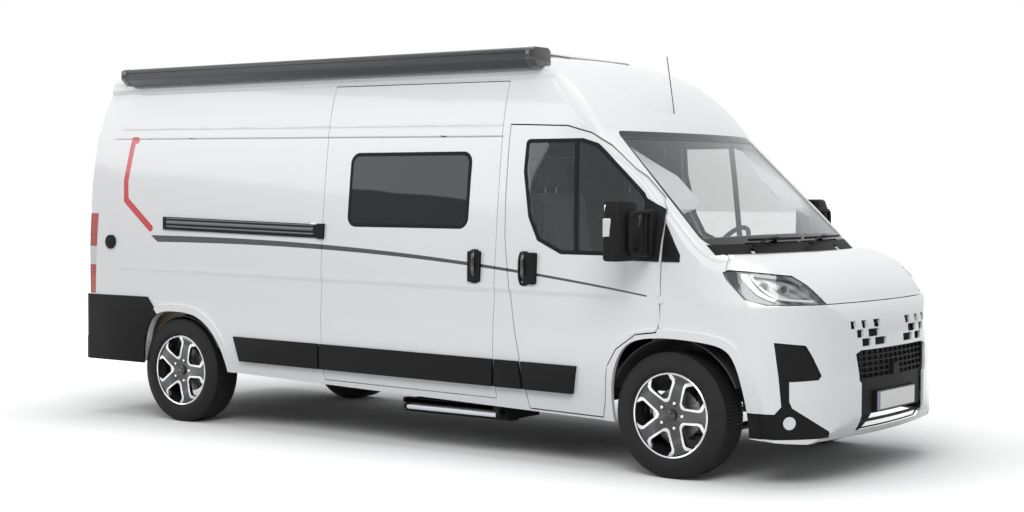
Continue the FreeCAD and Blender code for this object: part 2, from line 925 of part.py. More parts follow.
FRONT_ARCH_SHARES = [(0, 0), (0.002, 0.563), (0.032, 0.717), (0.100, 0.886), (0.339, 1), (0.545, 1),
                     (0.731, 0.973), (0.873, 0.897), (0.938, 0.733), (0.978, 0.512), (1, 0.318), (1, 0)]
REAR_ARCH_SHARES = [(0, 0), (0, 0.272), (0.005, 0.516), (0.047, 0.750), (0.129, 0.919), (0.254, 0.989),
                    (0.415, 1), (0.633, 0.955), (0.764, 0.847), (0.906, 0.595), (0.988, 0.223), (1, 0)]
front_arch = in_box(FRONT_ARCH_SHARES, S.front_arch_rear_x, S.front_arch_front_x, S.arch_low_height,
                    S.front_arch_top_height)
rear_arch = in_box(REAR_ARCH_SHARES, S.rear_arch_rear_x, S.rear_arch_front_x, S.arch_low_height,
                   S.rear_arch_top_height)


def room_for_wheel(axle_x, radius, depth):
    """The space inside the left arch that the wheel needs when it turns."""
    y0 = S.half_width - depth
    tube = Part.makeCylinder(radius, OUT - y0, V(axle_x, y0, S.tyre_radius), Y_AXIS)
    return tube.fuse(block(axle_x - radius, axle_x + radius, y0, OUT, 0, S.tyre_radius))


def flare(outline, form):
    """A raised lip round an arch, bevelled back to the side."""
    wide = arch_wire(offset_outline(outline, S.flare_band), S.half_width - S.flare_band)
    narrow = arch_wire(offset_outline(outline, S.flare_edge), S.half_width + S.flare_rise + S.seat_gap)
    cone = Part.makeLoft([wide, narrow], True, True)
    raised = form.copy()
    raised.translate(V(0, S.flare_rise, 0))
    return cone.common(raised)


# Solids that the panels are cut from

plain_form = half_form(0, 0, 0, 0)
bumper_side = [(S.bumper_rear_x, S.bumper_low_height),
               (S.bumper_front_x + S.tail_lamp_length, S.bumper_low_height),
               (S.bumper_front_x + S.tail_lamp_length, S.bumper_top_height - S.tail_lamp_length * 1.1),
               (S.bumper_front_x, S.bumper_top_height), (S.bumper_rear_x, S.bumper_top_height)]
bumper_reach = side_prism(bumper_side, 0, OUT)
flares = [flare(front_arch, plain_form), flare(rear_arch, plain_form).cut(bumper_reach)]
outer = biggest(plain_form.fuse(flares).cut(below_sills()))
glass_inner = half_form(S.glass_thickness, S.glass_thickness, S.glass_thickness, S.glass_thickness)
thin_inner = half_form(S.sheet_wall, S.sheet_wall, S.sheet_wall, S.sheet_wall)
inner = half_form(S.wall, S.roof_wall, S.wall, S.roof_wall)
half_shell = biggest(outer.cut(inner))
skin = outer.cut(thin_inner)


def glass_piece(zone):
    """The thin outer layer of the body inside the zone."""
    return biggest(outer.common(zone).cut(glass_inner))


front_room = room_for_wheel(S.front_axle_x, S.front_room_radius, S.front_room_depth)
rear_room = room_for_wheel(S.rear_axle_x, S.rear_room_radius, S.rear_room_depth)
arch_cutters = [arch_prism(front_arch, IN, OUT), arch_prism(rear_arch, IN, OUT),
                front_room.common(thin_inner), rear_room.common(thin_inner)]
lip_y = S.bumper_half - S.bumper_wall

# Outlines seen from the side, as shares of their boxes

FRONT_DOOR_SHARES = [(0, 1), (0.002, 0.753), (0.012, 0.607), (0.053, 0.419), (0.151, 0.086), (0.175, 0.007),
                     (0.648, 0), (0.667, 0.053), (0.684, 0.173), (0.744, 0.237), (0.864, 0.291),
                     (0.986, 0.302), (1, 0.338), (1, 0.665), (0.995, 0.707), (0.954, 0.745), (0.845, 0.813),
                     (0.636, 0.922), (0.516, 0.966), (0.372, 0.991)]
SLIDE_SHARES = [(0, 1), (0.007, 0.534), (0.014, 0.133), (0.019, 0.010), (1, 0), (0.994, 0.125), (1, 0.482),
                (0.993, 0.995)]
FRONT_WINDOW_SHARES = [(0.004, 1), (0.450, 1), (0.559, 0.956), (0.922, 0.535), (0.973, 0.433), (1, 0),
                       (0.331, 0), (0.140, 0.113), (0.059, 0.317), (0, 0.718)]
front_door_outline = in_box(FRONT_DOOR_SHARES, S.door_rear_x, S.door_front_x, S.door_low_height,
                            S.door_top_height)
slide_outline = in_box(SLIDE_SHARES, S.slide_rear_x, S.slide_front_x, S.slide_low_height, S.slide_top_height)
front_window = in_box(FRONT_WINDOW_SHARES, S.door_window_rear_x, S.door_window_front_x,
                      S.door_window_low_height, S.door_window_top_height)
BOX_SHARES = [(0, 0), (1, 0), (1, 1), (0, 1)]


def side_window(rear_x, front_x):
    return in_box(BOX_SHARES, rear_x, front_x, S.slide_window_low_height, S.slide_window_top_height)


slide_window = side_window(S.slide_window_rear_x, S.slide_window_front_x)
left_windows = [side_window(S.rear_window_rear_x, S.rear_window_front_x),
                side_window(S.mid_window_rear_x, S.mid_window_front_x)]
wing_rear_x = S.door_front_x + S.door_gap
roof_split = S.gutter_height + S.roof_split_rise


def side_cutter(outline, grow=0):
    return side_prism(offset_outline(outline, grow) if grow else outline, IN, OUT)


def window_cutter(outline, radius, grow=0):
    return rounded_prism(offset_outline(outline, grow) if grow else outline, radius, IN, OUT)


front_door_hole = side_cutter(front_door_outline, S.door_gap)
slide_hole = side_cutter(slide_outline, S.panel_gap)


def glazing(outline, radius):
    """A pane and the black frame round it, both set in a window opening."""
    seat = offset_outline(outline, -S.seat_gap)
    line = offset_outline(seat, -S.seal_width)
    pane_radius = max(radius - S.seal_width, S.clearance)
    pane = glass_piece(window_cutter(line, pane_radius))
    frame = skin.common(window_cutter(seat, radius))
    frame = biggest(frame.cut(window_cutter(line, pane_radius, S.seat_gap)))
    return pane, frame


# Screen, cowl, bonnet and wings

def front_rounded_prism(outline, radius, x0, x1):
    """Like front_prism, with each corner of the (y, z) outline rounded."""
    face = Part.Face(rounded(outline, radius))
    face.rotate(V(0, 0, 0), Z_AXIS, 90)
    face.translate(V(x0, 0, 0))
    return face.extrude(V(x1 - x0, 0, 0))


screen_outline = [(S.screen_low_half, S.screen_low_height), (S.screen_top_half, S.header_height),
                  (-S.screen_top_half, S.header_height), (-S.screen_low_half, S.screen_low_height)]


def screen_zone(grow):
    """The windscreen's opening, seen from the front and cut straight back."""
    outline = offset_outline(screen_outline, grow) if grow else screen_outline
    return front_rounded_prism(outline, S.screen_corner_radius, S.header_x - S.wall * 3, S.nose_x)


screen_hole = screen_zone(S.seat_gap)
keep("windscreen", both(glass_piece(screen_zone(0))))

nose_axis = V(S.nose_x - S.nose_bow_radius, 0, 0)
bonnet_rear_radius = S.bonnet_rear_x - nose_axis.x
behind_bonnet = Part.makeCylinder(bonnet_rear_radius, FAR, nose_axis)
behind_bonnet_gap = Part.makeCylinder(bonnet_rear_radius - S.panel_gap, FAR, nose_axis)

LAMP_SHARES = [(0, 0.957), (0.058, 1), (0.253, 0.963), (0.662, 0.840), (0.809, 0.569), (1, 0.011),
               (0.361, 0.011), (0.165, 0.170), (0.025, 0.729)]
lamp_outline = in_box(LAMP_SHARES, S.lamp_rear_corner, S.lamp_front_corner, S.lamp_low_height,
                      S.lamp_top_height)
lamp_zone = corner_prism(lamp_outline, S.corner_inner, S.corner_outer)
lamp_hole = corner_prism(offset_outline(lamp_outline, S.panel_gap), S.corner_inner, S.corner_outer)
lamp_seat = corner_prism(offset_outline(lamp_outline, S.seat_gap), S.corner_inner, S.corner_outer)

CORNER_SIDE_SHARES = [(1.051, 1.065), (1.018, 1)]


def bonnet_outline():
    """The bonnet's lower edge along the corner: up the side split, then over the lamp's top."""
    up = [(S.lamp_rear_corner * u, S.lamp_top_height * v) for u, v in CORNER_SIDE_SHARES]
    up.insert(0, (up[0][0], S.header_height))
    lamp_top = offset_outline(lamp_outline, S.panel_gap)[1:5]
    front = (lamp_outline[5][0], S.wing_split_height + S.panel_gap)
    far_u = S.nose_x
    return up + lamp_top[1:] + [front, (far_u, front[1]), (far_u, S.header_height)]


bonnet_corner = bonnet_outline()
centre_inner = (S.header_x + S.cowl_x) / 2 * CORNER_WAY.x
bonnet_zone = corner_prism(bonnet_corner, centre_inner, S.corner_outer)
bonnet_hole = corner_prism(offset_outline(bonnet_corner, S.door_gap - S.panel_gap), centre_inner,
                           S.corner_outer)
bonnet_half = biggest(carve(skin.common(bonnet_zone), behind_bonnet, lamp_hole))

cowl_outline = [(0, S.cowl_low_height), (0, S.screen_low_height), (S.cowl_outer_y, S.screen_low_height),
                (S.cowl_outer_y, S.cowl_height), (S.half_width * 0.84, S.cowl_low_height)]
cowl_zone = front_prism(cowl_outline, wing_rear_x, S.nose_x)
cowl_seat_zone = front_prism([(y + S.seat_gap if y > 0 else y, z + S.seat_gap) for y, z in cowl_outline],
                             wing_rear_x, S.nose_x)
cowl_half = skin.common(cowl_zone).common(behind_bonnet_gap).cut(screen_hole)
cowl_half = biggest(cowl_half)
hinge_y0 = S.bonnet_hinge_y - S.bonnet_arm_half
hinge_y1 = S.bonnet_hinge_y + S.bonnet_arm_half
notch = block(S.bonnet_hinge_x - S.bonnet_eye_radius - S.clearance, S.bonnet_rear_x, hinge_y0 - S.clearance,
              hinge_y1 + S.clearance, S.cowl_low_height, S.header_height)
pin_centre = V(S.bonnet_hinge_x, 0, S.bonnet_hinge_height)
pins = [rod(pin_centre + Y_AXIS * (hinge_y0 - S.clearance * 4),
            pin_centre + Y_AXIS * (hinge_y0 - S.seat_gap), S.bonnet_pin_radius),
        rod(pin_centre + Y_AXIS * (hinge_y1 + S.seat_gap), pin_centre + Y_AXIS
            * (hinge_y1 + S.clearance * 4), S.bonnet_pin_radius)]
cowl_half = biggest(fuse(cowl_half.cut(notch), *pins))
eye = rod(pin_centre + Y_AXIS * hinge_y0, pin_centre + Y_AXIS * hinge_y1, S.bonnet_eye_radius)
arm_low = S.bonnet_hinge_height - S.bay_wall
arm = side_prism([(S.bonnet_hinge_x, S.bonnet_hinge_height - S.bonnet_eye_radius),
                  (S.bonnet_hinge_x, S.bonnet_hinge_height),
                  (S.bonnet_rear_x - S.wall, arm_low + S.sheet_wall),
                  (S.bonnet_hinge_x + S.bonnet_arm_reach, arm_low + S.bonnet_eye_radius),
                  (S.bonnet_hinge_x + S.bonnet_arm_reach, arm_low - S.clearance),
                  (S.bonnet_rear_x - S.wall, arm_low - S.clearance)], hinge_y0, hinge_y1)
bonnet_half = bonnet_half.fuse([eye, arm])
keep("bonnet", both(biggest(bonnet_half)))

bumper_line = [(S.wing_split_x, S.wing_split_height), (S.wing_split_x - S.overrun / 2,
                                                       S.wing_split_height - S.overrun),
               (S.front_arch_front_x + S.clearance, S.wing_split_low_height + S.flare_band),
               (S.wing_split_low_x, S.wing_split_low_height), (S.wing_split_low_x, 0),
               (S.nose_x + S.overrun, 0), (S.nose_x + S.overrun, S.wing_split_height)]
bumper_zone = side_prism(bumper_line, -OUT, OUT)
wing_strip = side_cutter(offset_outline(front_arch, S.flare_band))
wing_outline = [(wing_rear_x, 0), (S.nose_x + S.overrun, 0),
                (S.nose_x + S.overrun, S.cowl_height + S.wall * 1.4),
                (S.cowl_x - S.wall * 3, S.cowl_height + S.wall * 1.4), (wing_rear_x, S.sail_low_height)]
wing_box = side_prism(wing_outline, IN, OUT)
nose_space = side_prism(wing_outline, -S.overrun, IN)
wing_zone = biggest(wing_box.fuse(wing_strip.common(block(S.door_rear_x, wing_rear_x, IN, OUT, 0,
                                                          S.front_arch_top_height + S.flare_band))))
front_skin = carve(skin, bonnet_hole, lamp_seat, *arch_cutters)
wing = carve(front_skin.common(wing_zone), bumper_zone, cowl_seat_zone, front_door_hole)
wing = biggest(wing)

# Panels of the shell

roof_outline = [(S.rear_face_x - S.overrun, roof_split), (S.door_rear_x + S.wall * 2, roof_split),
                (S.door_rear_x + S.wall * 2, S.door_top_height + S.bay_wall),
                (S.header_x - S.wall * 4, S.door_top_height + S.bay_wall),
                (S.header_x - S.wall * 3, S.header_height - S.bay_wall),
                (S.nose_x, S.header_height - S.bay_wall), (S.nose_x, S.roof_height + S.overrun),
                (S.rear_face_x - S.overrun, S.roof_height + S.overrun)]
roof_zone = side_prism(roof_outline, -OUT, OUT)
roof_half = biggest(carve(half_shell.common(roof_zone), screen_hole))

rear_face_depth = S.wall + S.rear_lean
rear_zone = block(S.rear_face_x - S.overrun, S.rear_face_x + rear_face_depth, S.door_gap / 2,
                  S.rear_door_half, S.rear_door_low_height, S.rear_door_top_height)
rear_hole = block(S.rear_face_x - S.overrun, S.rear_face_x + rear_face_depth * 1.5, 0,
                  S.rear_door_half + S.door_gap, S.rear_door_low_height - S.door_gap,
                  S.rear_door_top_height + S.door_gap)
side_panel = carve(half_shell, roof_zone, wing_zone, nose_space, cowl_seat_zone, screen_hole, rear_hole,
                   front_door_hole, *arch_cutters)
side_panel = side_panel.cut(rear_room.common(block(S.bumper_rear_x, S.bumper_front_x, 0, lip_y, 0,
                                                   S.bumper_top_height)))
side_panel = biggest(side_panel)

front_door = biggest(carve(half_shell.common(side_cutter(front_door_outline)), *arch_cutters))
front_door = biggest(front_door.cut(window_cutter(front_window, S.door_window_radius)))
sliding_left = biggest(half_shell.common(side_cutter(slide_outline)))


def knuckles(x, y, heights, radius):
    """Fixed and moving hinge barrels stacked on upright axes at the given heights."""
    length = S.hinge_knuckle
    fixed = [Part.makeCylinder(radius, length - S.seat_gap, V(x, y, z)) for z in heights]
    moving = [Part.makeCylinder(radius, length, V(x, y, z + length)) for z in heights]
    return fixed, moving


# Front door hinges: one arm of each goes to the wing and one to the door

hinge_x = S.door_front_x + S.door_gap / 2
door_hinge_heights = [S.door_hinge_low_height + S.overrun * 4, S.door_hinge_high_height]
fixed, moving = knuckles(hinge_x, S.hinge_line_y, door_hinge_heights, S.hinge_radius)
arm_y = S.hinge_line_y - S.hinge_arm
for z in door_hinge_heights:
    mid = z + S.hinge_knuckle
    fixed.append(block(hinge_x, hinge_x + S.hinge_arm, arm_y, S.hinge_line_y, z, mid - S.seat_gap))
    moving.append(block(hinge_x, hinge_x - S.hinge_arm, arm_y, S.hinge_line_y, mid, mid + S.hinge_knuckle))
wing = biggest(wing.fuse(fixed))
front_door = biggest(front_door.fuse(moving))
keep("front_wings", pair(wing))
for name, side in SIDES.items():
    keep("front_door_" + name, on_side(front_door, side))

# Windows

door_pane, door_frame = glazing(front_window, S.door_window_radius)
slide_pane, slide_frame = glazing(slide_window, S.window_radius)
left_glazing = [glazing(outline, S.window_radius) for outline in left_windows]
keep("side_windows", [pane for pane, _ in left_glazing] + [mirrored(slide_pane)])
window_frames = [frame for _, frame in left_glazing]

# Rear doors with their hinges, panes and handle

rear_pane_box = [(S.rear_pane_inner_y, S.rear_pane_outer_y, S.rear_pane_low_height, S.rear_pane_top_height)]


def rear_pane_cutter(inset):
    y0, y1, z0, z1 = rear_pane_box[0]
    return block(S.rear_face_x - S.overrun, S.rear_face_x + rear_face_depth * 1.2, y0 + inset, y1 - inset,
                 z0 + inset, z1 - inset)


rear_hinge_x = S.rear_face_x - S.rear_hinge_out
rear_hinge_y = S.rear_door_half + S.door_gap / 2
rear_heights = [S.rear_hinge_low_height, S.rear_hinge_high_height]
rear_fixed, rear_moving = knuckles(rear_hinge_x, rear_hinge_y, rear_heights, S.rear_hinge_radius)
leaf = S.hinge_arm
for z in rear_heights:
    mid = z + S.hinge_knuckle
    end = mid + S.hinge_knuckle
    reach_x = S.rear_face_x + S.rear_hinge_out * 2
    rear_fixed.append(block(rear_hinge_x, reach_x, rear_hinge_y, rear_hinge_y + S.rear_hinge_radius, z,
                            mid - S.seat_gap))
    rear_fixed.append(block(S.rear_face_x, reach_x, rear_hinge_y, rear_hinge_y + leaf, z, mid - S.seat_gap))
    rear_moving.append(block(rear_hinge_x - S.rear_hinge_radius, rear_hinge_x, rear_hinge_y - leaf,
                             rear_hinge_y, mid, end))
    rear_moving.append(block(rear_hinge_x, reach_x, rear_hinge_y - leaf, rear_hinge_y - S.door_gap / 2, mid,
                             end))
side_panel = side_panel.fuse(rear_fixed)
rear_door = rear_zone.common(half_shell)
rear_door = biggest(rear_door.cut(rear_pane_cutter(0)).fuse(rear_moving))
rear_pane = glass_piece(rear_pane_cutter(S.seat_gap))
handle_y = S.rear_pane_inner_y
handle = block(S.rear_face_x - S.handle_stand, S.rear_face_x + S.clearance, handle_y,
               handle_y + S.rear_handle_length, S.rear_handle_height, S.rear_handle_height + S.overrun)
for name, side in SIDES.items():
    door = biggest(rear_door.fuse(handle)) if side < 0 else rear_door
    keep("rear_door_" + name, on_side(door, side))
    keep("rear_window_" + name, on_side(rear_pane, side))


# Side panels, sliding door and roof

lamp_box = (S.rear_face_x - S.overrun, S.rear_face_x + S.tail_lamp_length, S.tail_lamp_inner_y, OUT,
            S.tail_lamp_low_height, S.tail_lamp_top_height)
tail_lamp = biggest(half_shell.common(block(*lamp_box)))
lamp_seat = block(lamp_box[0], lamp_box[1] + S.seat_gap, lamp_box[2] - S.seat_gap, OUT,
                  lamp_box[4] - S.seat_gap, lamp_box[5] + S.seat_gap)
side_panel = biggest(side_panel.cut(lamp_seat))
left_cutters = [window_cutter(outline, S.window_radius) for outline in left_windows]
keep("side_panel_left", biggest(side_panel.cut(left_cutters)))
keep("side_panel_right", mirrored(biggest(side_panel.cut(slide_hole))))
slide_pane_hole = window_cutter(slide_window, S.window_radius)
keep("sliding_door", mirrored(biggest(sliding_left.cut(slide_pane_hole))))
keep("roof_panel", both(roof_half))
stop_x = S.rear_face_x + S.rear_lean
stop_lamp = block(stop_x - S.stop_lamp_height, stop_x + S.stop_lamp_height, 0, S.stop_lamp_half,
                  roof_split - S.stop_lamp_height * 1.5, roof_split - S.stop_lamp_height / 2)
stop_lamp = both(biggest(stop_lamp.cut(plain_form)))
keep("tail_lamps", pair(tail_lamp) + [stop_lamp])


# Front bumper, its black corner inserts, the grille and the plate

INSERT_SHARES = [(0.297, 1), (0.681, 0.968), (0.762, 0.856), (0.880, 0.650), (0.842, 0.609), (0.468, 0.596),
                 (0.470, 0.393), (0.506, 0.326), (0.992, 0.067), (1, 0), (0, 0), (0, 0.270), (0.295, 0.264),
                 (0.373, 0.343)]
insert_outline = in_box(INSERT_SHARES, S.insert_rear_corner, S.insert_front_corner, S.insert_low_height,
                        S.insert_top_height)
insert_hole = corner_prism(insert_outline, S.corner_inner, S.corner_outer)
insert_zone = corner_prism(offset_outline(insert_outline, -S.seat_gap), S.corner_inner, S.corner_outer)
OPENING_SHARES = [(0, 1), (0.878, 1), (1, 0.961), (0.950, 0.623), (0.907, 0.600), (0.907, 0), (0, 0)]
opening_outline = in_box(OPENING_SHARES, 0, S.grille_half, S.intake_low_height, S.grille_top_height)
grille_outline = [(max(y - S.seat_gap, 0), z) for y, z in opening_outline]
BRICK_ROW_SHARES = [  # half-width shares of the holes in each row, from the top row down
    [(0.358, 0.527), (0.690, 0.812), (0.941, 1.055)],
    [(0.422, 0.686), (0.802, 0.949)],
    [(0.249, 0.538), (0.633, 0.844)]]
bricks = []
for row, spans in enumerate(BRICK_ROW_SHARES):
    top = S.brick_top_height - S.brick_row_pitch * row
    for inner_share, outer_share in spans:
        bricks.append(block(S.engine_front_x, FAR, S.grille_half * inner_share, S.grille_half * outer_share,
                            top - S.brick_row_height, top))
nose_skin = front_skin.common(block(S.wing_split_low_x, FAR, 0, OUT, 0, S.wing_split_height + S.panel_gap))
bumper = nose_skin.common(bumper_zone)
bumper = carve(bumper, insert_hole, front_prism(opening_outline, S.engine_front_x, FAR))
bumper = biggest(bumper.cut(bricks))
keep("front_bumper", both(bumper))

corner_skin = nose_skin.copy()
corner_skin.translate(CORNER_WAY * -S.insert_recess)
insert = biggest(corner_skin.common(insert_zone))
fog_start = CORNER_ALONG * S.fog_corner + CORNER_WAY * S.corner_inner + Z_AXIS * S.fog_height
fog_rod = rod(fog_start, fog_start + CORNER_WAY * S.corner_inner, S.fog_radius)
fog_lamp = biggest(insert.common(fog_rod))
fog_hole = rod(fog_start, fog_start + CORNER_WAY * S.corner_inner, S.fog_radius + S.seat_gap)
keep("bumper_insert", pair(biggest(insert.cut(fog_hole))))
head_lamp = biggest(half_shell.common(lamp_zone))
keep("front_lamps", pair(head_lamp) + pair(fog_lamp))

grille_skin = nose_skin.copy()
grille_skin.translate(X_AXIS * -S.grille_recess)
grille = grille_skin.common(front_prism(grille_outline, S.engine_front_x, FAR))
cell_width = (S.grille_half - S.upright_width) / S.upright_count
cell_height = (S.grille_top_height - S.grille_low_height - S.slat_height) / S.slat_count
cells = []
for row in range(int(S.slat_count)):
    z0 = S.grille_low_height + S.slat_height + cell_height * row
    for column in range(int(S.upright_count)):
        y0 = cell_width * column + S.upright_width / 2
        cells.append(block(S.engine_front_x, FAR, y0, y0 + cell_width - S.upright_width, z0,
                           z0 + cell_height - S.slat_height))
intake_height = (S.panel_low_height - S.intake_low_height) / 2
for row in range(2):
    z0 = S.intake_low_height + S.slat_height + intake_height * row
    cells.append(block(S.engine_front_x, FAR, 0, S.panel_half - S.slat_height * 2, z0,
                       z0 + intake_height - S.slat_height * 2))
grille = biggest(grille.cut(cells))
sensor_low = S.grille_low_height + S.slat_height
sensor_x = S.nose_x - S.grille_recess - S.sheet_wall
sensor = block(sensor_x, sensor_x + S.sheet_wall * 1.6, 0, S.sensor_width / 2, sensor_low,
               sensor_low + S.sensor_height)
plate_x = S.nose_x - S.sheet_wall
frame_half = S.plate_width / 2 + S.plate_frame
plate_low = S.plate_centre_height - S.plate_height / 2
plate_frame = block(S.nose_x - S.grille_recess * 2, plate_x, 0, frame_half, plate_low - S.plate_frame,
                    plate_low + S.plate_height + S.plate_frame)
stay_y = S.front_rail_inner_y + S.front_rail_width / 2
stay_top = S.front_rail_low + S.front_rail_height
grille_stay = block(S.front_rail_front_x + S.seat_gap, S.grille_stay_x, stay_y - S.grille_stay_width / 2,
                    stay_y + S.grille_stay_width / 2, stay_top - S.grille_stay_height, stay_top)
keep("lower_grille", both(fuse(grille, sensor, plate_frame, grille_stay)))
keep("number_plate", block(plate_x + S.seat_gap, plate_x + S.plate_thickness + S.seat_gap,
                           -S.plate_width / 2, S.plate_width / 2, plate_low, plate_low + S.plate_height))


# Rear bumper, which wraps the corners up to the lamps

bumper_plan = [(S.bumper_rear_x, 0), (S.bumper_rear_x, S.rear_door_half + S.bay_wall * 2),
               (S.bumper_rear_x + S.bumper_half - S.gutter_half_width - S.wall * 3.2,
                S.bumper_half - S.bay_wall), (S.rear_face_x + S.wall, S.bumper_half),
               (S.bumper_front_x + S.tail_lamp_length, S.bumper_half),
               (S.bumper_front_x + S.tail_lamp_length, 0)]
inner_plan = offset_outline(bumper_plan, -S.bumper_wall)
inner_plan = [(x if x < S.bumper_front_x else x + S.overrun, y if y > S.bumper_wall * 2 else y - S.overrun)
              for x, y in inner_plan]
behind_doors = block(S.bumper_rear_x, S.rear_face_x + S.wall, 0, S.tail_lamp_inner_y, S.bumper_mid_height,
                     S.bumper_top_height)
behind_lamps = block(S.bumper_rear_x, S.rear_face_x + S.clearance, 0, S.bumper_half, S.bumper_mid_height,
                     S.bumper_top_height)
rear_bumper = plan_prism(bumper_plan, S.bumper_low_height, S.bumper_top_height).common(bumper_reach)
rear_bumper = carve(rear_bumper, behind_doors, behind_lamps, arch_prism(rear_arch, IN, OUT), plain_form,
                    plan_prism(inner_plan, 0, S.bumper_mid_height))
rear_bumper = biggest(rear_bumper)
keep("rear_bumper", both(rear_bumper))


# Mouldings, handles, window frames and mirrors

def moulding(x0, x1, slant0, slant1):
    """A raised strip low on the side between two slanted ends."""
    def low(x):
        share = (x - S.moulding_rear_x) / (S.moulding_front_x - S.moulding_rear_x)
        return S.moulding_low_rear + (S.moulding_low_front - S.moulding_low_rear) * share
    outline = [(x0 + slant0, low(x0)), (x1 + slant1, low(x1)), (x1, low(x1) + S.moulding_height),
               (x0, low(x0) + S.moulding_height)]
    return biggest(side_prism(outline, IN, S.widest_half).cut(outer))


def handle_shell(x):
    half_w, half_h = S.handle_width / 2, S.handle_height / 2
    outline = in_box(BOX_SHARES, x - half_w, x + half_w, S.handle_centre_height - half_h,
                     S.handle_centre_height + half_h)
    return biggest(rounded_prism(outline, S.handle_stand / 2, IN, S.widest_half - S.clearance).cut(outer))


gap = S.moulding_gap / 2
door_low_x = S.door_rear_x + S.divider_lean * 3.2
root_strips = [moulding(S.moulding_rear_x, S.slide_rear_x - gap, S.moulding_slant, 0),
               moulding(S.slide_rear_x + gap * 2, S.slide_front_x - gap, 0, 0),
               moulding(S.slide_front_x + gap * 2, door_low_x - gap * 2, 0, S.moulding_slant / 2)]
door_strip = moulding(door_low_x + gap, S.moulding_front_x, S.moulding_slant / 2, -S.moulding_slant / 2)
rail = side_prism([(S.rail_rear_x, S.rail_top_height - S.rail_stand),
                   (S.rail_front_x, S.rail_low_height - S.rail_stand), (S.rail_front_x, S.rail_low_height),
                   (S.rail_rear_x, S.rail_top_height)], IN, S.half_width - S.clearance * 2)
rail = biggest(rail.cut(outer))
bracket = block(S.rail_front_x + S.seat_gap, S.bracket_front_x, IN, S.half_width - S.clearance,
                S.rail_low_height - S.rail_stand - S.clearance, S.rail_low_height + S.clearance)
bracket = biggest(bracket.cut(outer))
cap_start = V(S.cap_x, S.half_width - S.wall, S.cap_height)
filler_cap = biggest(rod(cap_start, cap_start + Y_AXIS * S.wall, S.cap_radius).cut(outer))


def raised(outline):
    """A plate that covers the outline and stands a little proud of the body."""
    local = plain_form.common(side_prism(outline, S.half_width * 0.85, OUT))
    plate = local.copy()
    plate.translate(Y_AXIS * S.clearance)
    return biggest(plate.cut(local))


sail_front = wing_rear_x
pillar_cover = raised([(sail_front, S.sail_low_height), (S.sail_front_x, S.sail_low_height),
                       (S.sail_front_x, S.sail_front_height),
                       (sail_front, S.sail_top_height - S.wall * 2.8)])
sail_outline = [(S.sail_rear_x, S.sail_low_height), (S.door_front_x - S.seal_width / 2, S.sail_low_height),
                (S.door_front_x - S.seat_gap, S.sail_top_height - S.wall * 2.8),
                (S.door_front_x - S.clearance, S.sail_top_height - S.wall * 1.3),
                (S.sail_rear_x + S.wall, S.sail_top_height)]
sail = raised(sail_outline)

keep("side_trim", pair(fuse(root_strips[0])) + pair(root_strips[1]) + pair(root_strips[2])
     + pair(pillar_cover) + [mirrored(s) for s in (rail, bracket, filler_cap,
                                                   handle_shell(S.slide_handle_x), slide_frame)]
     + window_frames)
divider_top = S.door_window_top_height + S.overrun
divider_low = S.door_window_low_height - S.overrun


def divider(grow):
    half = S.divider_width / 2 + grow
    return side_prism([(S.divider_x - half, divider_low), (S.divider_x + half, divider_low),
                       (S.divider_x + half - S.divider_lean, divider_top),
                       (S.divider_x - half - S.divider_lean, divider_top)], IN, OUT)


seat_line = offset_outline(front_window, -S.seat_gap)
divider_bar = skin.common(divider(0)).common(window_cutter(seat_line, S.door_window_radius))
door_frame = biggest(door_frame.fuse(biggest(divider_bar)))
door_panes = door_pane.cut(divider(S.seat_gap)).Solids
door_frame = biggest(door_frame.cut(sail))
arms = [block(S.mirror_arm_x - S.mirror_arm * 2, S.mirror_arm_x, S.half_width * 0.9,
              S.mirror_inner_y + S.clearance, z, z + S.mirror_arm)
        for z in (S.mirror_split_height, S.mirror_split_height + S.mirror_arm * 4.5)]
head_plan = [(S.mirror_rear_x, S.mirror_inner_y), (S.mirror_rear_x, S.mirror_outer_y - S.clearance),
             (S.mirror_rear_x + S.wall, S.mirror_outer_y), (S.mirror_front_x - S.bay_wall,
                                                            S.mirror_outer_y - S.wall),
             (S.mirror_front_x, S.mirror_inner_y + S.mirror_arm * 2),
             (S.mirror_front_x - S.clearance * 2, S.mirror_inner_y)]
head_side = in_box(BOX_SHARES, S.mirror_rear_x, S.mirror_front_x, S.mirror_low_height, S.mirror_top_height)
head = plan_prism(head_plan, S.mirror_low_height, S.mirror_top_height)
head = head.common(rounded_prism(head_side, S.mirror_arm, S.half_width, S.mirror_outer_y + S.overrun))
mirror = fuse(head, *arms)
mirror = biggest(carve(mirror, outer, sail))
for name, side in SIDES.items():
    keep("door_glass_" + name, [on_side(s, side) for s in door_panes])
    trims = [door_frame, sail, door_strip, handle_shell(S.door_handle_x + S.handle_width / 2)]
    keep("door_trim_" + name, [on_side(s, side) for s in trims])
    keep("mirror_" + name, on_side(mirror, side))
keep("cowl_panel", both(cowl_half))


# Roof pieces

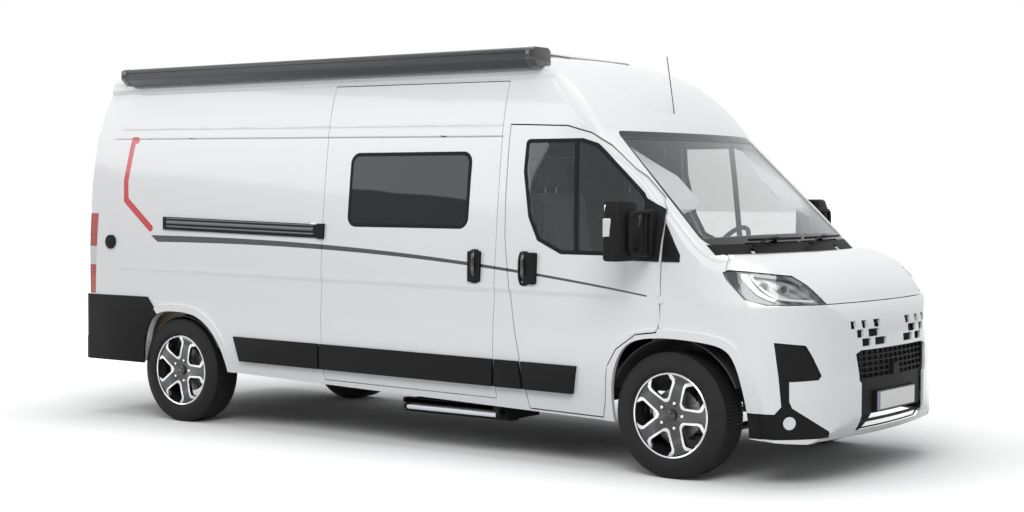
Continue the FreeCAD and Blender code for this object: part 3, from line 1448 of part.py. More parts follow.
AWNING_SHARES = [(0, 0.109), (0.051, 0), (0.744, 0), (1, 0.400), (1, 0.876), (0.872, 1), (0.150, 1),
                 (0, 0.840)]
awning_outline = in_box(AWNING_SHARES, -S.awning_near_y, -S.awning_near_y - S.awning_depth,
                        S.awning_low_height, S.awning_low_height + S.awning_height)
awning = front_prism(awning_outline, S.awning_rear_x, S.awning_front_x).cut(outer)
keep("awning", mirrored(biggest(awning)))
deflector = side_prism([(S.deflector_rear_x, S.roof_height - S.wall),
                        (S.deflector_rear_x, S.deflector_top_height),
                        (S.deflector_rear_x + S.wall, S.deflector_top_height),
                        (S.deflector_front_x - S.wall, S.roof_height - S.sheet_wall),
                        (S.deflector_front_x, S.roof_height - S.wall)], 0, S.deflector_half)
deflector = both(biggest(deflector.cut(plain_form)))
vent_x1 = S.vent_rear_x + S.vent_length
vent = block(S.vent_rear_x, vent_x1, 0, S.vent_half, S.roof_height - S.overrun, S.vent_top_height)
vent = vent.cut(block(S.vent_rear_x + S.vent_wall, vent_x1 - S.vent_wall, 0, S.vent_half - S.vent_wall, 0,
                      FAR))
pin_x = S.vent_rear_x - S.vent_hinge_out
pin_z = S.vent_top_height + S.vent_lid_height / 2
pin_y = S.vent_half / 2
tab = S.vent_wall * 0.75
vent_pins = []
for y0 in (pin_y - tab / 2 - S.seat_gap, pin_y + tab * 1.5 + S.seat_gap):
    start = V(pin_x, y0 - tab / 2, pin_z)
    vent_pins.append(rod(start, start + Y_AXIS * (tab / 2), S.vent_pin_radius))
    vent_pins.append(block(pin_x - S.vent_pin_radius, pin_x + S.vent_pin_radius, y0 - tab / 2, y0,
                           S.roof_height - S.overrun, pin_z))
    vent_pins.append(block(pin_x, S.vent_rear_x + S.clearance, y0 - tab / 2, y0, S.roof_height - S.overrun,
                           S.vent_top_height - S.clearance * 2))
vent = both(biggest(fuse(vent, *vent_pins).cut(plain_form)))
lid_eye = rod(V(pin_x, pin_y - tab / 2, pin_z), V(pin_x, pin_y + tab, pin_z), S.vent_pin_radius * 1.6)
lid_tab = block(pin_x, S.vent_rear_x, pin_y - tab / 2, pin_y + tab, pin_z - S.vent_pin_radius,
                pin_z + S.vent_pin_radius)
lid_low = S.vent_top_height + S.seat_gap
lid = block(S.vent_rear_x, vent_x1 + S.clearance * 2, 0, S.vent_half + S.clearance * 2, lid_low,
            S.vent_top_height + S.vent_lid_height)
keep("roof_vent_lid", both(fuse(lid, lid_eye, lid_tab)))
aerial_foot = V(S.aerial_foot_x, S.aerial_foot_y, S.aerial_foot_height - S.wall)
aerial = rod(aerial_foot, aerial_foot + V(-S.aerial_rake, 0, S.aerial_length + S.wall), S.aerial_radius)
aerial_foot_block = Part.makeCone(S.aerial_radius * 6, S.aerial_radius * 2, S.wall + S.bay_wall, aerial_foot)
aerial = biggest(aerial.fuse(aerial_foot_block).cut(mirrored(plain_form)))
keep("roof_fittings", [deflector, vent, aerial])


# Floor, wheel housings and scuttle

def housing(axle_x, radius, depth):
    """The thin inner wall of a wheel arch, above the floor's underside."""
    small = room_for_wheel(axle_x, radius - S.liner_wall, depth - S.liner_wall)
    wall = room_for_wheel(axle_x, radius, depth).cut(small)
    return wall.common(block(axle_x - radius, axle_x + radius, 0, S.floor_half, under_floor, FAR))


under_floor = S.floor_height - S.floor_wall
king_top = V(S.front_axle_x, S.kingpin_top_y, S.kingpin_top_height)
king_low = V(S.front_axle_x, S.kingpin_low_y, S.kingpin_low_height)
strut_hole = rod(king_low, king_top, S.spring_radius + S.clearance * 2)
front_housing = housing(S.front_axle_x, S.front_room_radius, S.front_room_depth).cut(strut_hole)
rear_housing = housing(S.rear_axle_x, S.rear_room_radius, S.rear_room_depth)
floor = block(S.floor_rear_x, S.firewall_x, 0, S.floor_half, under_floor, S.floor_height)
floor = carve(floor, front_room, rear_room)
firewall = block(S.firewall_x, S.firewall_x + S.firewall_wall, 0, S.floor_half, under_floor,
                 S.shelf_height + S.shelf_wall).cut(front_room)
shelf = block(S.firewall_x, S.shelf_front_x, 0, S.shelf_half, S.shelf_height, S.shelf_height + S.shelf_wall)
FRONT_WALL_SHARES = [(0, 0), (1, 0), (1, 0.50), (0.94, 0.70), (0.47, 0.93), (0, 1)]
front_wall = front_prism(in_box(FRONT_WALL_SHARES, 0, S.shelf_half, S.shelf_height,
                                S.screen_low_height - S.clearance), S.shelf_front_x,
                         S.shelf_front_x + S.shelf_wall)
tower = block(S.front_axle_x - S.tower_half, S.front_axle_x + S.tower_half, S.kingpin_top_y - S.tower_half,
              S.kingpin_top_y + S.tower_half, S.tower_height, S.shelf_height)
chassis = block(S.chassis_rear_x, S.firewall_x, S.rail_inner_y, S.rail_inner_y + S.rail_width,
                under_floor - S.rail_depth, under_floor)
cross_low = under_floor - S.rail_depth
cross = block(S.chassis_rear_x - S.hitch_wall, S.chassis_rear_x, 0, S.rail_inner_y + S.rail_width, cross_low,
              under_floor)
cross_top = block(S.chassis_rear_x - S.hitch_wall, S.chassis_rear_x, 0, S.rail_inner_y + S.rail_width,
                  under_floor, S.floor_height)
holes = []
for rise in (S.hitch_bolt_rise / 2, -S.hitch_bolt_rise / 2):
    centre = V(S.chassis_rear_x - S.hitch_wall, S.hitch_bolt_spread / 2,
               (cross_low + under_floor) / 2 + rise)
    holes.append(rod(centre, centre + X_AXIS * S.hitch_wall, S.hitch_bolt_radius))
floor_half = fuse(floor, firewall, shelf, front_wall, tower, chassis, cross, front_housing, rear_housing)
keep("floor_pan", both(floor_half.cut(holes)))


# Cab and living area

TILT = math.radians(35)
column_way = V(math.cos(TILT), 0, -math.sin(TILT))
wheel_centre = V(S.wheel_x, S.wheel_y, S.wheel_height)
dash_back = S.firewall_x - S.seat_gap
dash_floor = S.shelf_height + S.shelf_wall + S.seat_gap
dash_front = S.shelf_front_x - S.seat_gap
dash_outline = [(S.dash_rear_x, S.shelf_height + S.shelf_wall),
                (S.dash_rear_x + S.wall * 1.2, S.dash_low_height + S.overrun),
                (dash_back - S.sheet_wall, S.dash_low_height), (dash_back, S.dash_low_height),
                (dash_back, dash_floor), (dash_front, dash_floor),
                (dash_front, S.dash_top_height - S.overrun), (dash_front - S.wall, S.dash_top_height),
                (S.firewall_x, S.dash_top_height), (S.dash_rear_x + S.overrun,
                                                    S.dash_top_height - S.overrun)]
dash = side_prism(dash_outline, -S.shelf_half, S.shelf_half)
column = rod(wheel_centre + column_way * (S.wheel_hub_depth / 2 + S.seat_gap),
             wheel_centre + column_way * (S.wheel_ring_radius), S.column_radius)
keep("dashboard", fuse(dash, column))
ring = Part.makeTorus(S.wheel_ring_radius, S.wheel_grip_radius, wheel_centre, -column_way)
hub = rod(wheel_centre - column_way * (S.wheel_hub_depth / 2),
          wheel_centre + column_way * (S.wheel_hub_depth / 2), S.wheel_hub_radius)
down = V(-math.sin(TILT), 0, -math.cos(TILT))
ends = [Y_AXIS * S.wheel_ring_radius, Y_AXIS * -S.wheel_ring_radius, down * S.wheel_ring_radius]
spokes = [rod(wheel_centre, wheel_centre + end, S.wheel_spoke_radius) for end in ends]
keep("steering_wheel", fuse(ring, hub, *spokes))

soft = S.seat_gap
base_top = S.seat_base_height
seat_base = block(S.seat_rear_x + S.wall, S.seat_front_x - S.wall, S.seat_inner_y + S.bay_wall,
                  S.seat_outer_y - S.bay_wall, S.floor_height, base_top)
keep("seat_bases", pair(seat_base))


def cushion(outline, y0, y1):
    return rounded_prism(outline, S.soft_corner, y0, y1)


cushion_top = base_top + soft + S.seat_cushion
back_top = cushion_top + soft + S.seat_back_height
rear_x, depth, rake = S.seat_rear_x, S.seat_back_thickness, S.seat_back_rake
seat = cushion(in_box(BOX_SHARES, rear_x, S.seat_front_x, base_top + soft, cushion_top), S.seat_inner_y,
               S.seat_outer_y)
back = cushion([(rear_x, cushion_top + soft), (rear_x + depth, cushion_top + soft),
                (rear_x + depth - rake, back_top), (rear_x - rake, back_top)], S.seat_inner_y,
               S.seat_outer_y)
seat_mid = (S.seat_inner_y + S.seat_outer_y) / 2
rest_top = back_top + soft + S.headrest_height
headrest = cushion([(rear_x - rake, back_top + soft), (rear_x - rake + S.headrest_thickness,
                                                       back_top + soft),
                    (rear_x - rake * 1.3 + S.headrest_thickness, rest_top),
                    (rear_x - rake * 1.3, rest_top)], seat_mid - S.headrest_width / 2,
                   seat_mid + S.headrest_width / 2)
keep("front_seats", pair(seat) + pair(back) + pair(headrest))

board = block(S.bed_rear_x, S.bed_front_x, -S.bed_half, S.bed_half, S.bed_height - S.bed_board, S.bed_height)
locker = block(S.bed_rear_x, S.bed_front_x, S.bed_half - S.bed_locker, S.bed_half, S.floor_height,
               S.bed_height - S.bed_board)
locker = locker.cut(room_for_wheel(S.rear_axle_x, S.rear_room_radius + S.clearance,
                                   S.rear_room_depth + S.clearance))
keep("rear_bed", fuse(board, *pair(locker)))
bed_mattress = in_box(BOX_SHARES, S.bed_rear_x + S.clearance, S.bed_front_x - S.clearance,
                      S.bed_height + soft, S.bed_height + S.mattress_thickness)
keep("mattress", cushion(bed_mattress, S.clearance * 4 - S.bed_half, S.bed_half - S.clearance * 4))

unit_top = S.kitchen_height - S.worktop
unit = block(S.kitchen_rear_x, S.kitchen_front_x, S.kitchen_inner_y, S.bed_half, S.floor_height, unit_top)
top_board = block(S.kitchen_rear_x, S.kitchen_front_x + S.worktop_over, S.kitchen_inner_y - S.worktop_over,
                  S.bed_half, unit_top, S.kitchen_height)
sink_centre = V((S.kitchen_rear_x + S.kitchen_front_x) / 2, (S.kitchen_inner_y + S.bed_half) / 2,
                S.kitchen_height - S.sink_depth)
sink = Part.makeCylinder(S.sink_radius, S.sink_depth, sink_centre)
keep("kitchen_unit", fuse(unit, top_board).cut(sink))


# Engine, front frame, knuckles and rear axle

keep("engine", block(S.engine_rear_x, S.engine_front_x, -S.engine_half, S.engine_half, S.engine_low,
                     S.engine_top))
rail_inner, rail_outer = S.front_rail_inner_y, S.front_rail_inner_y + S.front_rail_width
rail_low, rail_high = S.front_rail_low, S.front_rail_low + S.front_rail_height
front_rail = block(S.firewall_x + S.seat_gap, S.front_rail_front_x, rail_inner, rail_outer, rail_low,
                   rail_high)
arm_low = S.kingpin_low_height - S.seat_gap - S.lower_arm_wall
arm_half = S.tower_half - S.clearance * 2
lower_arm = block(S.front_axle_x - arm_half, S.front_axle_x + arm_half, 0,
                  S.kingpin_low_y + S.clearance * 2, arm_low, arm_low + S.lower_arm_wall)
dropper = block(S.front_axle_x - arm_half, S.front_axle_x + arm_half, rail_inner, rail_outer, arm_low,
                rail_low)
bracket_x = (S.engine_rear_x + S.engine_front_x) / 2
engine_bracket = block(bracket_x, bracket_x + S.wall * 2, S.engine_half + S.seat_gap, rail_inner,
                       rail_low + S.overrun, rail_high)
radiator = block(S.radiator_x, S.radiator_x + S.radiator_wall, 0, rail_inner, rail_low, S.radiator_top)
front_half = fuse(front_rail, lower_arm, dropper, engine_bracket, radiator)
socket = V(S.front_rail_front_x, (rail_inner + rail_outer) / 2, (rail_low + rail_high) / 2)
frame = both(front_half)
socket_side = mirrored(rod(socket, socket - X_AXIS * S.tow_socket_depth, S.tow_socket_radius))
keep("front_frame", frame.cut(socket_side))

axis_way = (king_top - king_low).normalize()
ball_low = king_low + axis_way * (S.strut_ball_radius / axis_way.z)
ball_top = king_top - axis_way * (S.strut_ball_radius / axis_way.z)
tube = rod(ball_low, ball_top, S.strut_radius)
balls = [Part.makeSphere(S.strut_ball_radius, centre) for centre in (ball_low, ball_top)]
spring_low = king_low + axis_way * (S.spring_low_height - S.kingpin_low_height)
spring_high = king_low + axis_way * (S.spring_top_height - S.kingpin_low_height)
spring = rod(spring_low, spring_high, S.spring_radius)
carrier = block(S.front_axle_x - S.carrier_half, S.front_axle_x + S.carrier_half, S.carrier_inner_y,
                S.carrier_outer_y, S.carrier_low, S.carrier_top)
spindle_radius = S.hub_bore_radius - S.seat_gap
spindle = rod(V(S.front_axle_x, S.carrier_outer_y, S.tyre_radius),
              V(S.front_axle_x, S.front_face_y - S.overrun, S.tyre_radius), spindle_radius)
knuckle = biggest(fuse(tube, *balls, spring, carrier, spindle))
for name, side in SIDES.items():
    keep("knuckle_" + name, on_side(knuckle, side))

beam = rod(V(S.rear_axle_x, 0, S.tyre_radius), V(S.rear_axle_x, S.rear_face_y - S.overrun, S.tyre_radius),
           spindle_radius)
leaf_ends = [S.rear_axle_x - S.leaf_half_length, S.rear_axle_x + S.leaf_half_length]
leaf_mid = S.tyre_radius - S.leaf_thickness
thick = Z_AXIS * S.leaf_thickness
low_curve = [V(leaf_ends[0], 0, S.leaf_eye_height), V(S.rear_axle_x, 0, leaf_mid),
             V(leaf_ends[1], 0, S.leaf_eye_height)]
low_arc = Part.Arc(*low_curve).toShape()
high_arc = Part.Arc(*[p + thick for p in low_curve]).toShape()
leaf_wire = Part.Wire([low_arc, straight(low_curve[2], low_curve[2] + thick), high_arc,
                       straight(low_curve[0] + thick, low_curve[0])])
leaf_face = Part.Face(leaf_wire)
leaf_face.translate(Y_AXIS * S.leaf_inner_y)
leaf = leaf_face.extrude(Y_AXIS * S.leaf_width)
hangers = [block(x - S.leaf_thickness, x + S.leaf_thickness, S.leaf_inner_y, S.leaf_inner_y + S.leaf_width,
                 S.leaf_eye_height, under_floor) for x in leaf_ends]
keep("rear_axle", both(fuse(beam, leaf, *hangers)))


# Tanks, exhaust and entry step

def tank(x0, x1):
    outline = in_box(BOX_SHARES, x0, x1, S.tank_low, under_floor - S.tank_top_gap)
    return rounded_prism(outline, S.tank_corner, S.tank_right_y, S.tank_left_y)


keep("tanks", [tank(S.water_tank_rear_x, S.water_tank_front_x),
               tank(S.waste_tank_rear_x, S.waste_tank_front_x)])
pipe_line = V(0, S.pipe_y, S.pipe_height)
pipe_start = pipe_line + X_AXIS * (S.engine_rear_x - S.seat_gap)
pipe_end = pipe_line + X_AXIS * S.pipe_rear_x
pipe = rod(pipe_start, pipe_end, S.pipe_radius)
tip = rod(pipe_end, pipe_end + V(-S.wall * 1.5, 0, -S.wall), S.pipe_radius)
knee = Part.makeSphere(S.pipe_radius, pipe_end)
silencer = rod(pipe_line + X_AXIS * S.silencer_rear_x, pipe_line + X_AXIS * S.silencer_front_x,
               S.silencer_radius)
pipe_hangers = [block(x, x + S.overrun, S.pipe_y - S.clearance, S.pipe_y + S.clearance, S.pipe_height,
                      under_floor) for x in (S.silencer_front_x - S.silencer_radius * 2,
                                             S.silencer_rear_x * 1.9)]
keep("exhaust", fuse(pipe, tip, knee, silencer, *pipe_hangers))

step_wall = S.step_housing_wall
step_top = S.step_low + S.step_thickness
house_low = S.step_low - step_wall
cover_low = step_top + S.clearance * 2
side_walls = [block(x0, x0 + step_wall, S.step_housing_outer_y, S.step_housing_inner_y, house_low,
                    cover_low + step_wall)
              for x0 in (S.step_rear_x - step_wall - S.clearance, S.step_front_x + S.clearance)]
cover = block(S.step_rear_x - step_wall - S.clearance, S.step_front_x + step_wall + S.clearance,
              S.step_housing_outer_y, S.step_housing_inner_y, cover_low, cover_low + step_wall)
guides = [block(S.step_rear_x - step_wall - S.clearance, S.step_front_x + step_wall + S.clearance,
                S.step_housing_outer_y + S.overrun, S.step_housing_outer_y + S.overrun * 3,
                house_low - step_wall / 2, S.step_low - S.clearance)]
posts = [block(x, x + S.step_hanger, S.step_inner_y - S.overrun, S.step_inner_y, cover_low, under_floor)
         for x in (S.step_rear_x + S.wall * 2, S.step_front_x - S.wall * 3)]
front_bar = block(S.step_rear_x, S.step_front_x, S.step_outer_y, S.step_housing_outer_y, cover_low,
                  cover_low + S.step_front_height)
runner_height = S.step_thickness / 3
runner_low = S.step_low + runner_height
runners = [block(x0, x0 + S.clearance - S.seat_gap, S.step_housing_outer_y, S.step_housing_inner_y,
                 runner_low, runner_low + runner_height)
           for x0 in (S.step_rear_x - S.clearance, S.step_front_x + S.seat_gap)]
keep("step_housing", fuse(*side_walls, cover, *guides, *posts, *runners, front_bar))
keep("entry_step", block(S.step_rear_x, S.step_front_x, S.step_outer_y, S.step_inner_y, S.step_low,
                         step_top))


# Wheels: a turned tyre, and a rim with five openings and its brake disc

TYRE_SHARES = [(0.767, 0.40), (0.860, 0.94), (0.905, 1), (0.972, 0.80), (1, 0.15)]  # radius, bulge
TYRE_BULGE_SHARE = 0.12
WINDOW_COUNT = 5
WINDOW_SHARES = [(0, -0.33), (1, -0.36), (1.05, 0), (1, 0.36), (0, 0.33)]  # radius share, turn share


def rim_shape(x, side, face):
    """The rim's turned section less its openings."""
    back = face - S.rim_width
    front = face - S.face_set_back
    spoke_back = front - S.spoke_depth
    disc_front = face - S.disc_set_back
    disc_back = disc_front - S.disc_thickness
    inner_r = S.rim_radius - S.rim_barrel
    section = [(S.hub_bore_radius, front), (inner_r - S.rim_lip, front), (inner_r, face),
               (S.rim_radius, face), (S.rim_radius, back), (inner_r, back),
               (inner_r, spoke_back - S.rim_lip), (S.window_outer_radius, spoke_back),
               (S.hub_radius, spoke_back), (S.hub_radius, disc_front), (S.disc_radius, disc_front),
               (S.disc_radius, disc_back), (S.hub_bore_radius, disc_back)]
    wire = Part.makePolygon([V(r, y, 0) for r, y in section + section[:1]])
    rim = Part.Face(wire).revolve(V(0, 0, 0), Y_AXIS, 360)
    rim = biggest(Part.makeSolid(rim) if not rim.Solids else rim)
    reach = S.window_outer_radius - S.window_inner_radius
    outline = []
    for r_share, turn_share in WINDOW_SHARES:
        r = S.window_inner_radius + reach * r_share
        turn = 2 * math.pi / WINDOW_COUNT * turn_share
        outline.append((r * math.sin(turn), r * math.cos(turn)))
    window = side_prism(outline, disc_front + S.clearance, face + S.clearance)
    windows = []
    for i in range(WINDOW_COUNT):
        turned = window.copy()
        turned.rotate(V(0, 0, 0), Y_AXIS, i * 360 / WINDOW_COUNT)
        windows.append(turned)
    rim = on_side(biggest(rim.cut(windows)), side)
    rim.translate(V(x, 0, S.tyre_radius))
    return rim


for axle, x, face in (("front", S.front_axle_x, S.front_face_y), ("rear", S.rear_axle_x, S.rear_face_y)):
    for name, side in SIDES.items():
        bulge = S.rim_width * TYRE_BULGE_SHARE
        bead = [(S.rim_radius + S.seat_gap, face - S.clearance)]
        outer_line = bead + [(S.tyre_radius * r, face + bulge * (b - 0.5)) for r, b in TYRE_SHARES[1:-1]]
        outer_line.append((S.tyre_radius, face - S.rim_width / 2 + S.tread_width / 2))
        middle = face - S.rim_width / 2
        section = outer_line + [(r, middle * 2 - y) for r, y in reversed(outer_line)]
        place = (x, 0, S.tyre_radius)
        keep_turned(f"tyre_{axle}_{name}", [(r, y * side) for r, y in section], place)
        keep(f"rim_{axle}_{name}", rim_shape(x, side, face))

doc.recompute()
failed = [o.Label for o in doc.Objects if "Invalid" in o.State or "Error" in o.State]
empty = [o.Label for o in subparts if o.Shape.isNull() or not o.Shape.isValid()]
if failed or empty:
    raise SystemExit(f"failed {failed}, empty or invalid {empty}")
os.makedirs("parts", exist_ok=True)
for part in subparts:
    part.Shape.exportStep(f"parts/{part.Label}.step")
    print(part.Label, len(part.Shape.Solids), round(part.Shape.Volume / 1e6, 2))
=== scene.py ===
import json
import math

import bpy
from bpy.props import FloatProperty, FloatVectorProperty, IntProperty, PointerProperty
from mathutils import Matrix, Vector
from mathutils.bvhtree import BVHTree

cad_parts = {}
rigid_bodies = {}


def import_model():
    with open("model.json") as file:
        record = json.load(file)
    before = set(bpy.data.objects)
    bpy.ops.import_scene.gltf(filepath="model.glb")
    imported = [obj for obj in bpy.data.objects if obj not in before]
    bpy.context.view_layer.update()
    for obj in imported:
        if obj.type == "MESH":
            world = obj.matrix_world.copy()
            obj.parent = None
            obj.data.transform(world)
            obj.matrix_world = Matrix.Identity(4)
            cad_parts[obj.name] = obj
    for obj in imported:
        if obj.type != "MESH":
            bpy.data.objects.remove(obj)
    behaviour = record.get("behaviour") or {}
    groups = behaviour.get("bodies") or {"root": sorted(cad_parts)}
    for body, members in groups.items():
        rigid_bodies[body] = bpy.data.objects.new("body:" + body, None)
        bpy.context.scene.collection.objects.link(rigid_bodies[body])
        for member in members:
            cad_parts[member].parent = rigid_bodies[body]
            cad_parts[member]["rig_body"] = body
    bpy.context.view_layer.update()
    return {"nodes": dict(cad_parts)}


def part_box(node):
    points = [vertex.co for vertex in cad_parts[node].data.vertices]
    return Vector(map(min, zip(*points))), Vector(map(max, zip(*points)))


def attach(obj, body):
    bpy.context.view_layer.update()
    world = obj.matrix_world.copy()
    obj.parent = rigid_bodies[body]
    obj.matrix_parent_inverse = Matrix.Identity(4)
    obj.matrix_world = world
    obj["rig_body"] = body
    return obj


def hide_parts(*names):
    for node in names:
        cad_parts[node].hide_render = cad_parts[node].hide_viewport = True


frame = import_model()

bl_info = {
    "name": "Camper Van Finish",
    "version": (1, 0, 0),
    "blender": (4, 5, 0),
    "location": "3D View > Sidebar > Camper Van",
    "description": "Dresses the packed camper van with paint, glass, wheels, lamps and upholstery",
    "category": "Object",
}

NODES = frame["nodes"]
SIDES = {"left": 1, "right": -1}
VAN = "van_body"
WHEELS = ["front_left", "front_right", "rear_left", "rear_right"]


# Sizes and colours a user may change

class VanFinishSizes(bpy.types.PropertyGroup):
    tread_depth: FloatProperty(name="Tread depth", description="Depth of the tyre grooves", default=0.007,
                               unit="LENGTH")
    spoke_count: IntProperty(name="Spokes", description="Double spokes of each wheel", default=5, min=3)
    key_strength: FloatProperty(name="Key light", description="Strength of the soft lights", default=1.0)


class VanFinishColours(bpy.types.PropertyGroup):
    paint: FloatVectorProperty(name="Paint", description="Body paint", subtype="COLOR", size=3,
                               default=(0.80, 0.81, 0.82))
    stripe: FloatVectorProperty(name="Stripe", description="Dark stripe", subtype="COLOR", size=3,
                                default=(0.034, 0.036, 0.040))
    decal: FloatVectorProperty(name="Decal", description="Bent red line near the tail", subtype="COLOR",
                               size=3, default=(0.62, 0.02, 0.03))
    plastic: FloatVectorProperty(name="Plastic", description="Grained black plastic", subtype="COLOR",
                                 size=3, default=(0.0060, 0.0060, 0.0065))
    cloth: FloatVectorProperty(name="Cloth", description="Seat cloth", subtype="COLOR", size=3,
                               default=(0.075, 0.078, 0.085))


# Shader maths on sockets

class Wire:
    """A socket whose sums and products add Math nodes."""

    def __init__(self, shader, socket):
        self.shader = shader
        self.socket = socket

    def math(self, operation, *others, swap=False, clamp=False):
        values = [self, *others]
        if swap:
            values = values[::-1]
        return self.shader.node("ShaderNodeMath", {"operation": operation, "use_clamp": clamp},
                                dict(enumerate(values)))

    def __add__(self, other):
        return self.math("ADD", other)

    __radd__ = __add__

    def __sub__(self, other):
        return self.math("SUBTRACT", other)

    def __rsub__(self, other):
        return self.math("SUBTRACT", other, swap=True)

    def __mul__(self, other):
        return self.math("MULTIPLY", other)

    __rmul__ = __mul__

    def __truediv__(self, other):
        return self.math("DIVIDE", other)

    def above(self, edge, soft=0.001):
        """0 below the edge, 1 above it, with a soft step between."""
        return ((self - edge) / soft + 0.5).math("MULTIPLY", 1.0, clamp=True)

    def below(self, edge, soft=0.001):
        return ((edge - self) / soft + 0.5).math("MULTIPLY", 1.0, clamp=True)

    def least(self, other):
        return self.math("MINIMUM", other)

    def most(self, other):
        return self.math("MAXIMUM", other)

    def abs(self):
        return self.math("ABSOLUTE")


class Shader:
    """A node material built up with its Principled BSDF."""

    def __init__(self, name, **constants):
        self.material = bpy.data.materials.new(name)
        self.material.use_nodes = True
        self.tree = self.material.node_tree
        self.surface = self.tree.nodes["Principled BSDF"]
        for key, value in constants.items():
            socket = self.surface.inputs[key.replace("_", " ")]
            if hasattr(value, "__len__") and len(value) == 3:
                value = (*value, 1.0)
            socket.default_value = value
        self._place = None

    def node(self, kind, settings=None, sockets=None, output=0):
        made = self.tree.nodes.new(kind)
        for key, value in (settings or {}).items():
            if key == "stops":
                ramp = made.color_ramp.elements
                while len(ramp) < len(value):
                    ramp.new(0.5)
                for stop, (place, colour) in zip(ramp, value):
                    stop.position = place
                    stop.color = (*colour, 1.0)
            else:
                setattr(made, key, value)
        for key, value in (sockets or {}).items():
            self.set(made.inputs[key], value)
        return Wire(self, made.outputs[output])

    def set(self, socket, value):
        if isinstance(value, Wire):
            self.tree.links.new(value.socket, socket)
        elif hasattr(value, "__len__") and len(value) == 3 and socket.type == "RGBA":
            socket.default_value = (*value, 1.0)
        else:
            socket.default_value = value

    def feed(self, name, value):
        self.set(self.surface.inputs[name], value)
        return self

    @property
    def place(self):
        if self._place is None:
            self._place = self.node("ShaderNodeTexCoord", output=3)
        return self._place

    def axes(self):
        split = self.tree.nodes.new("ShaderNodeSeparateXYZ")
        self.tree.links.new(self.place.socket, split.inputs[0])
        return [Wire(self, split.outputs[i]) for i in range(3)]

    def noise(self, scale, detail=2.0, roughness=0.5, place=None):
        return self.node("ShaderNodeTexNoise", None,
                         {"Vector": place or self.place, "Scale": scale, "Detail": detail,
                          "Roughness": roughness})

    def cells(self, scale, feature="F1", place=None):
        return self.node("ShaderNodeTexVoronoi", {"feature": feature},
                         {"Vector": place or self.place, "Scale": scale})

    def mix(self, share, first, second):
        return self.node("ShaderNodeMix", {"data_type": "RGBA"}, {0: share, 6: first, 7: second}, output=2)

    def bump(self, height, strength=0.2, distance=0.001):
        return self.feed("Normal", self.node("ShaderNodeBump", None,
                                             {"Height": height, "Strength": strength, "Distance": distance}))


def band(value, low, high, soft=0.001):
    """1 between two heights, 0 outside."""
    return value.above(low, soft) * value.below(high, soft)


# Finishes, each made once and kept by name

FINISHES = {}


def finish(maker):
    """Keeps what a maker returns, so that a material is made only once."""
    def made():
        if maker.__name__ not in FINISHES:
            FINISHES[maker.__name__] = maker()
        return FINISHES[maker.__name__].material
    return made


def colours():
    return bpy.context.scene.van_colours


def sizes():
    return bpy.context.scene.van_sizes


def segment_distance(x, z, start, end):
    """Distance from a straight run between two points of the side view."""
    run = (end[0] - start[0], end[1] - start[1])
    length = math.hypot(*run)
    way = (run[0] / length, run[1] / length)
    along = ((x - start[0]) * way[0] + (z - start[1]) * way[1]).most(0.0).least(length)
    dx = x - start[0] - along * way[0]
    dz = z - start[1] - along * way[1]
    return (dx * dx + dz * dz).math("SQRT")


def ridge(value, centre, half):
    """A smooth rise of 1 around a height, for pressed lines in the panels."""
    return (1 - ((value - centre) / half).abs()).most(0.0)


BENT_LINE = [(-2.50, 1.992), (-2.535, 1.992), (-2.578, 1.70), (-2.562, 1.562), (-2.285, 1.362)]
STRIPE_START = (-2.277, 1.312)


@finish
def paint():
    """Gloss white with the dark side stripe, the bent red line and painted shade along the lower pressed
    groove.
    """
    s = Shader("body_paint", Roughness=0.24, Coat_Weight=0.7, Coat_Roughness=0.06, IOR=1.45)
    x, y, z = s.axes()
    flank = y.abs().above(0.90, 0.01)
    run = (x - STRIPE_START[0]).most(0.0)
    top = STRIPE_START[1] - run.math("POWER", 2.3) * 0.01006
    low = top - (0.047 - run * 0.0090)
    start = STRIPE_START[0] + (STRIPE_START[1] - z) * 1.6
    stripe = z.below(top, 0.0015) * z.above(low, 0.0015) * flank
    stripe = stripe * x.above(start, 0.0015) * x.below(1.90, 0.0015)
    near = segment_distance(x, z, BENT_LINE[0], BENT_LINE[1])
    for begin, end in zip(BENT_LINE[1:], BENT_LINE[2:]):
        near = near.least(segment_distance(x, z, begin, end))
    line = near.below(0.0250, 0.0015) * flank * x.below(-2.2)
    # Painted shade: the white darkens along the lower pressed groove, standing in for the shade in the
    # crease.
    groove_shade = ridge(z + (x + 2.725) * 0.0095, 2.001, 0.006) * x.above(-2.74, 0.02) * x.below(0.80, 0.02) * flank
    cloud = s.noise(1.3, 3.0)
    white = s.mix(cloud, tuple(c * 0.985 for c in colours().paint), tuple(colours().paint))
    # Mixes in the painted groove shade, darkening the white to a quarter.
    white = s.mix(groove_shade * 0.75, white, tuple(c * 0.25 for c in colours().paint))
    s.feed("Base Color", s.mix(line, s.mix(stripe, white, tuple(colours().stripe)), tuple(colours().decal)))
    s.feed("Roughness", 0.20 + s.noise(6.0, 4.0) * 0.08)
    return s.bump(s.noise(900.0, 2.0), 0.04, 0.0002)


@finish
def flat_black():
    """Grained moulded black plastic, a little paler where it has aged."""
    s = Shader("grained_plastic", Roughness=0.55, Specular_IOR_Level=0.14)
    grain = s.cells(420.0)
    haze = s.noise(3.0, 4.0)
    dark = tuple(colours().plastic)
    s.feed("Base Color", s.mix(haze, dark, tuple(c * 1.4 + 0.001 for c in dark)))
    s.feed("Roughness", 0.50 + haze * 0.16)
    return s.bump(grain, 0.16, 0.0006)


@finish
def gloss_black():
    s = Shader("gloss_black", Roughness=0.10, Coat_Weight=0.6, Coat_Roughness=0.03)
    s.feed("Base Color", s.mix(s.noise(4.0), (0.008, 0.008, 0.009), (0.014, 0.014, 0.016)))
    s.feed("Roughness", 0.08 + s.noise(9.0, 3.0) * 0.06)
    return s


